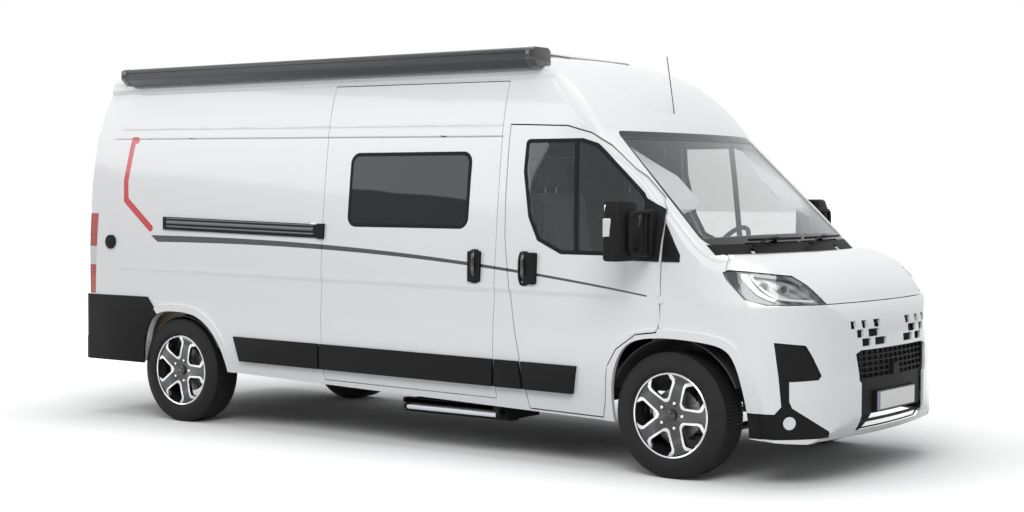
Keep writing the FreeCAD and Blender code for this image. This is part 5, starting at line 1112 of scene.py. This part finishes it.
def span_of(obj):
    corners = [Vector(c) for c in obj.bound_box]
    low = Vector([min(c[i] for c in corners) for i in range(3)])
    high = Vector([max(c[i] for c in corners) for i in range(3)])
    return low, high


LAMP_ALONG = (0.996, 1.561)
LAMP_TALL = (1.007, 1.195)
LAMP_STRIPS = [
    ("rim", 0.004, [(0.035, 0.93), (0.05, 0.72), (0.185, 0.20), (0.30, 0.085), (0.39, 0.035)],
     [(0.15, 0.95), (0.16, 0.74), (0.26, 0.34), (0.35, 0.17), (0.43, 0.08)]),
    ("band", 0.012, [(0.165, 0.92), (0.18, 0.74), (0.275, 0.36), (0.36, 0.20), (0.44, 0.11)],
     [(0.225, 0.91), (0.235, 0.74), (0.32, 0.42), (0.40, 0.26), (0.47, 0.17)]),
    ("light", 0.009, [(0.25, 0.90), (0.262, 0.74), (0.335, 0.46), (0.415, 0.29), (0.50, 0.18), (0.65, 0.13),
                      (0.84, 0.09)],
     [(0.272, 0.90), (0.285, 0.74), (0.355, 0.49), (0.43, 0.33), (0.505, 0.235), (0.65, 0.185),
      (0.85, 0.15)]),
    ("brow", 0.010, [(0.27, 0.93), (0.45, 0.87), (0.64, 0.81), (0.76, 0.62)],
     [(0.28, 0.84), (0.45, 0.78), (0.62, 0.72), (0.74, 0.55)])]
PROJECTORS = [(0.365, 0.50, 0.030), (0.56, 0.46, 0.026)]


def lamp_place(share, rise, side, deep=0.0):
    """A place on the headlamp by its shares along and up, sunk behind the lens, and the way it looks."""
    along = LAMP_ALONG[0] + (LAMP_ALONG[1] - LAMP_ALONG[0]) * share
    z = LAMP_TALL[0] + (LAMP_TALL[1] - LAMP_TALL[0]) * rise
    root = math.sqrt(0.5)
    way = Vector((root, side * root, 0))
    start = Vector((along * root, -side * along * root, z)) + way * 3
    return touch("front_lamps", start, -way)[0] - way * deep, way


def eased(points, steps=4):
    """More places along a line of points, with its bends rounded."""
    ends = [points[0]] + points + [points[-1]]
    line = []
    for a, b, c, d in zip(ends, ends[1:], ends[2:], ends[3:]):
        for number in range(steps):
            t = number / steps
            line.append(tuple(0.5 * (2 * q + (r - p) * t + (2 * p - 5 * q + 4 * r - s) * t ** 2
                                     + (3 * q - p - 3 * r + s) * t ** 3) for p, q, r, s in zip(a, b, c, d)))
    return line + [points[-1]]


def lamp_strip(name, first, second, side, deep):
    """A strip between two lines drawn on the headlamp, a little thick."""
    outline = eased(first) + eased(second)[::-1]
    made = sheet_of(name, [lamp_place(u, v, side, deep)[0] for u, v in outline])
    editing(made, lambda: bpy.ops.mesh.quads_convert_to_tris(ngon_method="BEAUTY"))
    modified(made, "SOLIDIFY", thickness=0.003, offset=0.0)
    return editing(made, face_out)


class VAN_OT_head_lamps(bpy.types.Operator):
    """Clear lenses over a grey housing with projectors, a black rim and a white light line"""

    bl_idname = "van.head_lamps"
    bl_label = "Head and fog lamps"

    def execute(self, context):
        lenses, backs = [], []
        for piece in loose(panel_copy("front_lamps")):
            centre = centre_of(piece)
            side = 1 if centre.y > 0 else -1
            out = Vector((0.72, 0.69 * side, 0.0)).normalized()
            if centre.z > 0.7:
                inset = shift(*(centre - out * 0.030)) @ Matrix.Scale(0.97, 4) @ shift(*-centre)
                back = copied(piece, "back", inset)
                painted(back, lamp_body())
                backs.append(back)
                painted(piece, clear_lens())
            else:
                aim = Vector((0, -1, 0)).rotation_difference(out).to_matrix().to_4x4()
                bezel = turned("bezel", [(0.030, -0.004), (0.040, -0.010), (0.044, -0.004), (0.040, 0.004),
                                         (0.030, 0.004)], 40)
                bezel.data.transform(Matrix.Translation(centre) @ aim)
                painted(bezel, flat_black())
                backs.append(bezel)
                painted(piece, lamp_white())
            lenses.append(piece)
        dressed(joined("lamp_lenses", *lenses), VAN, "lamp_clear", "front_lamps", angle=30, even=True)
        dressed(joined("lamp_backs", *backs), VAN, "lamp_clear", angle=30)
        finishes = {"rim": gloss_black, "band": lamp_grey, "light": lamp_white, "brow": gloss_black}
        for name, side in SIDES.items():
            parts = []
            for kind, deep, first, second in LAMP_STRIPS:
                parts.append(painted(lamp_strip(kind, first, second, side, deep), finishes[kind]()))
            for share, rise, reach in PROJECTORS:
                place, way = lamp_place(share, rise, side, 0.026)
                aim = Vector((0, -1, 0)).rotation_difference(way).to_matrix().to_4x4()
                ring = turned("ring", [(reach * 0.55, 0.0), (reach, -0.010), (reach + 0.003, -0.004),
                                       (reach + 0.003, 0.004), (reach * 0.55, 0.010)], 40)
                eye = turned("eye", [(0.0001, -0.014), (reach * 0.4, -0.011), (reach * 0.62, -0.002),
                                     (reach * 0.62, 0.004), (0.0001, 0.004)], 36)
                for part, material in ((ring, lamp_grey()), (eye, gloss_black())):
                    part.data.transform(Matrix.Translation(place) @ aim)
                    parts.append(painted(part, material))
            dressed(joined("lamp_inside_" + name, *parts), VAN, "lamp_clear", angle=40)
        return {"FINISHED"}


# Wipers and small outer fittings

def wiper(name, pivot_y, tip_y, rise):
    """One wiper parked on the foot of the screen: cap, arm and blade."""
    blade = []
    for number in range(7):
        share = number / 6
        y = pivot_y + (tip_y - pivot_y) * share
        z = 1.345 + rise * share
        place, normal = touch("windscreen", (4.0, y, z), (-1, 0, 0))
        blade.append(place + normal * 0.014)
    start = blade[0] + Vector((0.050, 0, -0.040))
    arm_way = blade[3] - start
    arm = [start + Vector((0, 0, 0.012)), start + arm_way * 0.35 + Vector((0.012, 0, 0.030)),
           start + arm_way * 0.75 + Vector((0.010, 0, 0.022)), blade[3] + Vector((0.004, 0, 0.012))]
    spine = [place + Vector((0.002, 0, 0.005)) for place in blade]
    parts = [tube_of("arm", arm, 0.007), tube_of("spine", spine, 0.006), tube_of("blade", blade, 0.0045)]
    cap = turned("cap", [(0.0001, -0.014), (0.013, -0.012), (0.018, -0.004), (0.018, 0.008),
                         (0.0001, 0.008)], 24)
    cap.data.transform(Matrix.Translation(arm[0]) @ turn(-90, "X"))
    clip = box_of("clip", blade[3] - Vector((0.012, 0.030, 0.006)), blade[3] + Vector((0.012, 0.030, 0.014)),
                  0.004)
    made = joined(name, *parts, cap, clip)
    painted(made, flat_black())
    return dressed(made, VAN, "black_plastic")


class VAN_OT_wipers(bpy.types.Operator):
    """Two wipers parked at the foot of the windscreen"""

    bl_idname = "van.wipers"
    bl_label = "Wipers"

    def execute(self, context):
        wiper("wiper_driver", 0.12, 0.74, 0.0)
        wiper("wiper_passenger", -0.52, 0.06, 0.0)
        return {"FINISHED"}


HANDLES = [("handle_slide", 0.655, 1.174, -1, VAN),
           ("handle_front_right", 1.031, 1.170, -1, "front_door_right"),
           ("handle_front_left", 1.031, 1.170, 1, "front_door_left")]


class VAN_OT_handles(bpy.types.Operator):
    """Oval door handles with a grip and a lock"""

    bl_idname = "van.handles"
    bl_label = "Door handles"

    def execute(self, context):
        for name, x, z, side, body in HANDLES:
            outer = side_touch("sliding_door" if body == VAN else body, x, z, side).y
            tall, wide = 0.105, 0.044
            outline = []
            for number in range(28):
                angle = math.tau * number / 28
                dx = math.copysign(abs(math.cos(angle)) ** 0.6, math.cos(angle)) * wide
                dz = math.copysign(abs(math.sin(angle)) ** 0.75, math.sin(angle)) * tall
                outline.append((x + dx, outer - side * 0.012, z + dz))
            shell = prism_of("shell", outline, (0, side * 0.026, 0), 0.007, 3)
            bowl = [(x + (px - x) * 0.66, outer + side * 0.004, z + (pz - z) * 0.80)
                    for px, _, pz in outline]
            shell = cut(shell, prism_of("bowl", bowl, (0, side * 0.05, 0)))
            painted(shell, flat_black())
            grip = tube_of("grip", [(x - 0.004, outer + side * 0.002, z + 0.094),
                                    (x, outer + side * 0.021, z + 0.070),
                                    (x + 0.003, outer + side * 0.026, z),
                                    (x, outer + side * 0.021, z - 0.045),
                                    (x - 0.002, outer + side * 0.004, z - 0.062)], 0.0125, sides=4)
            painted(grip, gloss_black())
            lock = turned("lock", [(0.0001, -0.003), (0.009, -0.003), (0.012, 0.001), (0.012, 0.006),
                                   (0.0001, 0.006)], 24)
            flip = MIRROR if side > 0 else Matrix.Identity(4)
            lock.data.transform(shift(x, outer + side * 0.010, z - 0.082) @ flip)
            painted(lock, machined())
            made = joined(name, shell, grip, lock)
            dressed(made, body, "black_plastic", angle=35)
        return {"FINISHED"}


class VAN_OT_rail(bpy.types.Operator):
    """The grey slide rail with its dark slot and bright roller bracket"""

    bl_idname = "van.rail"
    bl_label = "Slide rail"

    def execute(self, context):
        strips = []
        (rear_x, rear_z), (front_x, front_z) = (-2.10, 1.405), (-0.69, 1.375)
        for rise, radius in ((0.030, 0.0055), (0.004, 0.0150), (-0.026, 0.0075)):
            points = []
            for number in range(7):
                share = number / 6
                x = rear_x + (front_x - rear_x) * share
                z = rear_z + (front_z - rear_z) * share + rise
                points.append(side_touch("side_trim", x, z, -1) + Vector((0, radius * 0.55, 0)))
            strips.append(tube_of("strip", points, radius, sides=3))
        made = joined("slide_rail_profile", *strips)
        painted(made, rail_grey())
        dressed(made, VAN, "step_aluminium", angle=40)
        rollers = [box_of("roller", (-0.725, -0.998, z), (-0.668, -0.978, z + 0.024), 0.006, 3)
                   for z in (1.395, 1.335)]
        roller = joined("slide_rail_rollers", *rollers)
        painted(roller, machined())
        dressed(roller, VAN, "step_aluminium", angle=40)
        return {"FINISHED"}


class VAN_OT_awning(bpy.types.Operator):
    """Awning case with a front lid line and rounded end caps"""

    bl_idname = "van.awning"
    bl_label = "Awning"

    def execute(self, context):
        low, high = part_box("awning")
        outline = [(0.0, 0.109), (0.051, 0.0), (0.744, 0.0), (1.0, 0.40), (1.0, 0.876), (0.872, 1.0),
                   (0.15, 1.0), (0.0, 0.84)]
        deep, tall = high.y - low.y, high.z - low.z

        def at(x, grow):
            return [(x, high.y - deep * (0.5 + (a - 0.5) * grow), low.z + tall * (0.5 + (b - 0.5) * grow))
                    for a, b in outline]

        case = prism_of("awning_case", at(low.x + 0.05, 0.97), (high.x - low.x - 0.10, 0, 0), 0.010, 3)
        for share in (0.36, 0.72):
            z = low.z + tall * share
            groove = box_of("groove", (low.x + 0.04, low.y - 0.01, z - 0.0025),
                            (high.x - 0.04, low.y + 0.012, z + 0.0025))
            case = cut(case, groove)
        painted(case, awning_case())
        dressed(case, VAN, "awning_case", "awning", angle=30)
        for name, start, run in (("awning_cap_rear", low.x + 0.0005, 0.062),
                                 ("awning_cap_front", high.x - 0.0625, 0.062)):
            cap = prism_of(name, at(start, 0.998), (run, 0, 0), 0.016, 4)
            painted(cap, gloss_black())
            dressed(cap, VAN, "awning_case", angle=40)
        feet = joined("awning_feet", *[box_of("foot", (x - 0.04, high.y - 0.02, low.z - 0.012),
                                              (x + 0.04, high.y + 0.004, low.z + 0.02), 0.003)
                                       for x in (-2.0, -0.6, 0.7)])
        painted(feet, flat_black())
        dressed(feet, VAN, "awning_case")
        return {"FINISHED"}


class VAN_OT_entry_step(bpy.types.Operator):
    """Silver step tread with grip ribs and black ends"""

    bl_idname = "van.entry_step"
    bl_label = "Entry step"

    def execute(self, context):
        low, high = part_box("entry_step")
        tread = box_of("step_tread", (low.x + 0.03, low.y, low.z + 0.001),
                       (high.x - 0.03, high.y, high.z - 0.002), 0.004)
        ribs = [box_of("rib", (low.x + 0.035, low.y + 0.02 + 0.018 * n, high.z - 0.004),
                       (high.x - 0.035, low.y + 0.029 + 0.018 * n, high.z), 0.0015) for n in range(16)]
        made = joined("step_tread", tread, *ribs)
        painted(made, silver())
        dressed(made, "entry_step", "step_aluminium", "entry_step")
        ends = joined("step_ends", *[box_of("end", (x, low.y, low.z), (x + 0.032, high.y, high.z), 0.006, 3)
                                     for x in (low.x, high.x - 0.032)])
        painted(ends, flat_black())
        dressed(ends, "entry_step", "step_aluminium")
        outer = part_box("step_housing")[0].y
        front = box_of("step_front", (low.x + 0.012, outer, high.z + 0.012),
                       (high.x - 0.045, outer + 0.012, high.z + 0.042), 0.003)
        painted(front, silver())
        dressed(front, VAN, "step_aluminium")
        return {"FINISHED"}


class VAN_OT_mirrors(bpy.types.Operator):
    """Rounded mirror heads on their bracket frames, with faces and pale turn lamps"""

    bl_idname = "van.mirrors"
    bl_label = "Mirrors"

    def execute(self, context):
        low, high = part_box("mirror_right")
        head = box_of("head", (low.x, low.y, low.z), (high.x - 0.022, low.y + 0.200, high.z), 0.0)
        editing(head, lambda: bpy.ops.mesh.subdivide(number_cuts=3))
        for vertex in head.data.vertices:
            co = vertex.co
            up = between(co.z, 1.42, high.z)
            down = 1 - between(co.z, low.z, 1.36)
            front = between(co.x, low.x + 0.03, high.x - 0.022)
            outer = 1 - between(co.y, low.y, low.y + 0.12)
            co.y += 0.030 * up * up * outer
            co.x -= front * (0.026 * up * up + 0.020 * down * down + 0.018 * outer)
        bevelled(head, 0.020, 3, 40)
        modified(head, "SUBSURF", levels=2, render_levels=2)
        painted(head, flat_black())
        bow = [(high.x - 0.030, -1.000, 1.515), (high.x - 0.016, -1.06, 1.520),
               (high.x - 0.014, -1.17, 1.518), (high.x - 0.014, -1.236, 1.510),
               (high.x - 0.014, -1.244, 1.46), (high.x - 0.014, -1.244, 1.34),
               (high.x - 0.014, -1.236, 1.290), (high.x - 0.014, -1.17, 1.282),
               (high.x - 0.016, -1.06, 1.280), (high.x - 0.030, -1.000, 1.285)]
        frame_part = tube_of("bow", bow, 0.0135, sides=3)
        post = tube_of("post", [(high.x - 0.022, -1.075, 1.515), (high.x - 0.022, -1.075, 1.40),
                                (high.x - 0.022, -1.075, 1.285)], 0.013, sides=3)
        foot = box_of("foot", (high.x - 0.075, -1.035, 1.262), (high.x - 0.004, -0.968, 1.535), 0.014, 3)
        window = box_of("window", (high.x - 0.030, -1.215, 1.315), (high.x - 0.020, -1.135, 1.485), 0.006, 2)
        lamp = box_of("lamp", (low.x + 0.004, low.y, 1.375), (low.x + 0.060, low.y + 0.05, 1.485), 0.010, 4)
        face = box_of("face", (low.x - 0.0004, low.y + 0.024, 1.375), (low.x + 0.012, low.y + 0.172, 1.560),
                      0.012, 3)
        wide = box_of("wide", (low.x - 0.0004, low.y + 0.024, 1.272), (low.x + 0.012, low.y + 0.172, 1.360),
                      0.012, 3)
        for part in (frame_part, post, foot, window):
            painted(part, flat_black())
        painted(lamp, amber())
        for part in (face, wide):
            painted(part, mirror_face())
        pieces = (head, frame_part, post, foot, window, lamp, face, wide)
        for side_name, side in SIDES.items():
            flip = MIRROR if side > 0 else None
            parts = [copied(part, part.name, flip) for part in pieces]
            made = joined("mirror_head_" + side_name, *parts)
            dressed(made, "front_door_" + side_name, "black_plastic", "mirror_" + side_name, angle=45)
        for part in pieces:
            bpy.data.objects.remove(part)
        return {"FINISHED"}


# Upholstery

def swollen(obj, cap, voxel, frames=16):
    """A pad that swells like a stuffed cover: remeshed, blown up as cloth, and held within a cap."""
    centre = centre_of(obj)
    low, high = span_of(obj)
    size = high - low
    shrink = [1 - 2 * cap * 0.8 / max(side, 0.05) for side in size]
    obj.data.transform(shift(*centre) @ Matrix.Diagonal((*shrink, 1)) @ shift(*-centre))
    modified(obj, "REMESH", mode="VOXEL", voxel_size=voxel, adaptivity=0.0)
    rest = [v.co.copy() for v in obj.data.vertices]
    cloth = obj.modifiers.new("cloth", "CLOTH")
    cloth.settings.quality = 5
    cloth.settings.use_pressure = True
    cloth.settings.uniform_pressure_force = 4.0
    cloth.settings.tension_stiffness = 25
    cloth.settings.compression_stiffness = 25
    cloth.settings.effector_weights.gravity = 0.0
    cloth.point_cache.frame_start = 1
    cloth.point_cache.frame_end = frames
    scene = bpy.context.scene
    for number in range(1, frames + 1):
        scene.frame_set(number)
    swelled = obj.evaluated_get(bpy.context.evaluated_depsgraph_get()).to_mesh()
    moved = [v.co.copy() for v in swelled.vertices]
    obj.modifiers.remove(cloth)
    for vertex, start, end in zip(obj.data.vertices, rest, moved):
        way = end - start
        if way.length > cap:
            way = way.normalized() * cap
        vertex.co = start + way
    scene.frame_set(1)
    modified(obj, "SMOOTH", factor=0.5, iterations=3)
    return modified(obj, "SUBSURF", levels=1, render_levels=1)


UP = Vector((0, 0, 1))
AHEAD = Vector((1, 0, 0))


def shares(low, high, *parts):
    """Places at shares of the way from low to high."""
    return [low + (high - low) * part for part in parts]


def channels(obj, axis, facing, places, depth=0.007, width=0.010):
    """Presses sewn channels into the side of a pad that looks along the given way."""
    upper = [vertex for vertex in obj.data.vertices if vertex.normal.dot(facing) > 0.55]
    for vertex in upper:
        near = min(abs(vertex.co[axis] - place) for place in places)
        vertex.co -= facing * depth * math.exp(-(near / width) ** 2)
    obj.data.update()


def piping(obj, name, centre, first, second, radius=0.004, count=40):
    """A sewn cord round a pad, laid on it in the plane of two directions."""
    points = []
    tree = surface_tree(obj)
    for number in range(count):
        angle = math.tau * number / count
        way = first * math.cos(angle) + second * math.sin(angle)
        place = tree.ray_cast(centre + way * 2, -way)[0]
        if place is not None:
            points.append(place - way * 0.001)
    return tube_of(name, points, radius, closed=True)


class VAN_OT_seats(bpy.types.Operator):
    """Stuffed front seats with sewn channels and piping"""

    bl_idname = "van.seats"
    bl_label = "Front seats"

    def execute(self, context):
        pads = loose(panel_copy("front_seats"))
        pads.sort(key=lambda o: (round(centre_of(o).y, 1), centre_of(o).z))
        made = []
        for number, pad in enumerate(pads):
            low, high = span_of(pad)
            centre = (low + high) / 2
            kind = ("cushion", "back", "headrest")[number % 3]
            swollen(pad, 0.016 if kind != "headrest" else 0.012, 0.011)
            wide = high.y - low.y
            lines = [centre.y + wide * share for share in (-0.26, 0.26)]
            if kind == "cushion":
                channels(pad, 1, UP, lines)
                channels(pad, 0, UP, shares(low.x, high.x, 0.35, 0.55, 0.75), 0.004)
                trim = piping(pad, "piping", centre + UP * 0.02, AHEAD, Vector((0, 1, 0)))
            else:
                channels(pad, 1, AHEAD, lines)
                if kind == "back":
                    channels(pad, 2, AHEAD, shares(low.z, high.z, 0.3, 0.5, 0.7), 0.004)
                trim = piping(pad, "piping", centre, Vector((0, 1, 0)), UP)
            side = "left" if centre.y > 0 else "right"
            painted(pad, seat_cloth())
            painted(trim, flat_black())
            pad.name = "seat_%s_%s" % (kind, side)
            trim.name = "seat_%s_piping_%s" % (kind, side)
            dressed(pad, VAN, "seat_fabric", *(("front_seats",) if number == 0 else ()), angle=80)
            dressed(trim, VAN, "seat_fabric", angle=80)
            made.append(pad)
        for side in (1, -1):
            posts = []
            seat = [p for p in made if p.name.startswith("seat_headrest") and centre_of(p).y * side > 0][0]
            c = centre_of(seat)
            for dy in (-0.06, 0.06):
                posts.append(tube_of("post", [(c.x, c.y + dy, c.z - 0.14), (c.x, c.y + dy, c.z)], 0.006))
            post = joined("headrest_posts_" + ("left" if side > 0 else "right"), *posts)
            painted(post, silver())
            dressed(post, VAN, "step_aluminium", angle=60)
        return {"FINISHED"}


class VAN_OT_mattress(bpy.types.Operator):
    """Quilted mattress of the cross bed"""

    bl_idname = "van.mattress"
    bl_label = "Mattress"

    def execute(self, context):
        pad = panel_copy("mattress")
        low, high = span_of(pad)
        swollen(pad, 0.018, 0.026, 12)
        for axis in (0, 1):
            places = shares(low[axis], high[axis], 0.2, 0.4, 0.6, 0.8)
            channels(pad, axis, UP, places, 0.010, 0.022)
        painted(pad, mattress_cloth())
        pad.name = "mattress_quilted"
        dressed(pad, VAN, "mattress_fabric", "mattress", angle=80)
        return {"FINISHED"}


class VAN_OT_cab(bpy.types.Operator):
    """Instrument hood, centre screen and air vents"""

    bl_idname = "van.cab"
    bl_label = "Cab"

    def execute(self, context):
        low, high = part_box("dashboard")
        wheel = middle("steering_wheel")
        hood_points = [(wheel.x + run, wheel.y - 0.19, high.z + rise)
                       for run, rise in ((0.10, -0.005), (0.13, 0.030), (0.22, 0.036), (0.36, 0.004))]
        hood = prism_of("instrument_hood", hood_points, (0, 0.38, 0), 0.012, 3)
        painted(hood, flat_black())
        dressed(hood, VAN, "black_plastic")
        screen = box_of("centre_screen", (low.x + 0.005, -0.13, high.z - 0.17),
                        (low.x + 0.030, 0.13, high.z - 0.02), 0.006, 3)
        painted(screen, gloss_black())
        dressed(screen, VAN, "dark_gloss")
        vents = []
        for y in (-0.80, -0.24, 0.22, 0.80):
            z = high.z - 0.09
            vents.append(box_of("vent", (low.x - 0.002, y - 0.062, z - 0.038),
                                (low.x + 0.02, y + 0.062, z + 0.038), 0.006, 2))
            for n in range(4):
                vents.append(box_of("slat", (low.x - 0.006, y - 0.052, z - 0.026 + n * 0.016),
                                    (low.x + 0.004, y + 0.052, z - 0.022 + n * 0.016), 0.001, 1))
        made = joined("dash_vents", *vents)
        painted(made, gloss_black())
        dressed(made, VAN, "dark_gloss")
        return {"FINISHED"}


class VAN_OT_rear(bpy.types.Operator):
    """Handle with its plate on the right rear door"""

    bl_idname = "van.rear"
    bl_label = "Rear door fittings"

    def execute(self, context):
        place, _ = touch("rear_door_right", (-4, -0.075, 1.06), (1, 0, 0))
        plate = box_of("plate", (place.x - 0.006, -0.115, 0.985), (place.x + 0.004, -0.035, 1.135), 0.010, 3)
        grip = tube_of("grip", [(place.x - 0.002, -0.075, 1.125), (place.x - 0.026, -0.075, 1.100),
                                (place.x - 0.030, -0.075, 1.060), (place.x - 0.026, -0.075, 1.030),
                                (place.x - 0.002, -0.075, 1.005)], 0.010, sides=3)
        made = joined("rear_handle", plate, grip)
        painted(made, flat_black())
        dressed(made, "rear_door_right", "black_plastic")
        return {"FINISHED"}


# Stage

CAMERA_PLACE = (7.1806, -9.4553, 1.6327)
CAMERA_TURN = (2.2074, -0.0388, 0.0037)
CAMERA_LENS = 61.19
CAMERA_SHIFT = (0.0011, 0.0030)
SKY_STRENGTH = 0.45
FLOOR_BOUNCE = (0.38, 0.38, 0.38)
FLOOR_WHITE = (0.94, 0.94, 0.94)


def camera_matrix():
    yaw, pitch, roll = CAMERA_TURN
    ahead = Vector((math.cos(yaw) * math.cos(pitch), math.sin(yaw) * math.cos(pitch), math.sin(pitch)))
    right = Vector((math.sin(yaw), -math.cos(yaw), 0))
    up = right.cross(ahead)
    right, up = (right * math.cos(roll) + up * math.sin(roll), up * math.cos(roll) - right * math.sin(roll))
    turn_part = Matrix((right, up, -ahead)).transposed().to_4x4()
    return Matrix.Translation(CAMERA_PLACE) @ turn_part


def seen_directly(tree):
    """1 for the rays that show a background: from the camera, off metal and through glass."""
    path = tree.nodes.new("ShaderNodeLightPath")
    total = None
    for name in ("Is Camera Ray", "Is Glossy Ray", "Is Transmission Ray"):
        if total is None:
            total = path.outputs[name]
            continue
        most = tree.nodes.new("ShaderNodeMath")
        most.operation = "MAXIMUM"
        tree.links.new(total, most.inputs[0])
        tree.links.new(path.outputs[name], most.inputs[1])
        total = most.outputs[0]
    return total


def lit(name, place, aim, width, height, power):
    data = bpy.data.lights.new(name, "AREA")
    data.shape = "RECTANGLE"
    data.size, data.size_y = width, height
    data.energy = power
    lamp = bpy.data.objects.new(name, data)
    bpy.context.scene.collection.objects.link(lamp)
    lamp.location = place
    lamp.rotation_euler = (Vector(aim) - Vector(place)).to_track_quat("-Z", "Y").to_euler()
    return lamp


class VAN_OT_stage(bpy.types.Operator):
    """Camera at the photographed angle, white floor and backdrop, soft studio light"""

    bl_idname = "van.stage"
    bl_label = "Stage"

    def execute(self, context):
        scene = context.scene
        scene.view_settings.view_transform = "Standard"
        data = bpy.data.cameras.new("camera")
        data.lens, data.sensor_width, data.sensor_fit = CAMERA_LENS, 36.0, "HORIZONTAL"
        data.shift_x, data.shift_y = CAMERA_SHIFT
        data.clip_end = 400
        camera = bpy.data.objects.new("camera", data)
        scene.collection.objects.link(camera)
        camera.matrix_world = camera_matrix()
        scene.camera = camera
        world = bpy.data.worlds.new("studio")
        world.use_nodes = True
        tree = world.node_tree
        tree.nodes.clear()
        out = tree.nodes.new("ShaderNodeOutputWorld")
        mixed = tree.nodes.new("ShaderNodeMixShader")
        soft = tree.nodes.new("ShaderNodeBackground")
        white = tree.nodes.new("ShaderNodeBackground")
        soft.inputs[0].default_value = (0.97, 0.985, 1.0, 1)
        soft.inputs[1].default_value = SKY_STRENGTH
        white.inputs[0].default_value = (1, 1, 1, 1)
        tree.links.new(seen_directly(tree), mixed.inputs[0])
        tree.links.new(soft.outputs[0], mixed.inputs[1])
        tree.links.new(white.outputs[0], mixed.inputs[2])
        tree.links.new(mixed.outputs[0], out.inputs[0])
        scene.world = world
        deselect()
        bpy.ops.mesh.primitive_plane_add(size=240, location=(0, 0, 0))
        floor = bpy.context.object
        floor.name = "studio_floor"
        shader = Shader("studio_floor", Roughness=0.9, Specular_IOR_Level=0.0, Emission_Color=(1, 1, 1))
        seen = Wire(shader, seen_directly(shader.tree))
        x, y, z = shader.axes()
        off_x = (x.abs() - 2.6).most(0.0)
        off_y = (y.abs() - 0.9).most(0.0)
        away = (off_x * off_x + off_y * off_y).math("SQRT")
        shader.feed("Base Color", shader.mix(seen, FLOOR_BOUNCE, FLOOR_WHITE))
        shader.feed("Emission Strength", seen * ((away - 0.2) / 4.5).math("MULTIPLY", 1.0, clamp=True))
        floor.data.materials.append(shader.material)
        key = sizes().key_strength
        lit("key", (5.5, -7.5, 7.0), (0, 0, 1.0), 6.0, 4.0, 500 * key)
        lit("fill", (-7.0, -7.0, 5.0), (0, 0, 1.0), 6.0, 4.0, 165 * key)
        lit("top", (0, 0, 12.0), (0, 0, 0), 12.0, 7.0, 430 * key)
        return {"FINISHED"}


class VAN_PT_finish(bpy.types.Panel):
    """The pieces of the camper van's finish"""

    bl_idname = "VAN_PT_finish"
    bl_label = "Camper Van"
    bl_space_type = "VIEW_3D"
    bl_region_type = "UI"
    bl_category = "Camper Van"

    def draw(self, context):
        for group in (context.scene.van_sizes, context.scene.van_colours):
            for name in group.__annotations__:
                self.layout.prop(group, name)
        for operator in OPERATORS:
            self.layout.operator(operator.bl_idname)


OPERATORS = [VAN_OT_stage, VAN_OT_panels, VAN_OT_trims, VAN_OT_glass, VAN_OT_carried, VAN_OT_wheels,
             VAN_OT_head_lamps, VAN_OT_wipers, VAN_OT_handles, VAN_OT_rail, VAN_OT_awning,
             VAN_OT_entry_step, VAN_OT_mirrors, VAN_OT_seats, VAN_OT_mattress, VAN_OT_cab, VAN_OT_rear]
GROUPS = [VanFinishSizes, VanFinishColours]


def register():
    for each in [*GROUPS, *OPERATORS, VAN_PT_finish]:
        bpy.utils.register_class(each)
    bpy.types.Scene.van_sizes = PointerProperty(type=VanFinishSizes)
    bpy.types.Scene.van_colours = PointerProperty(type=VanFinishColours)


def unregister():
    del bpy.types.Scene.van_sizes
    del bpy.types.Scene.van_colours
    for each in [VAN_PT_finish, *reversed(OPERATORS), *reversed(GROUPS)]:
        bpy.utils.unregister_class(each)


def main():
    register()
    for operator in OPERATORS:
        group, name = operator.bl_idname.split(".")
        getattr(getattr(bpy.ops, group), name)()
    bpy.context.view_layer.update()


if __name__ == "__main__":
    main()
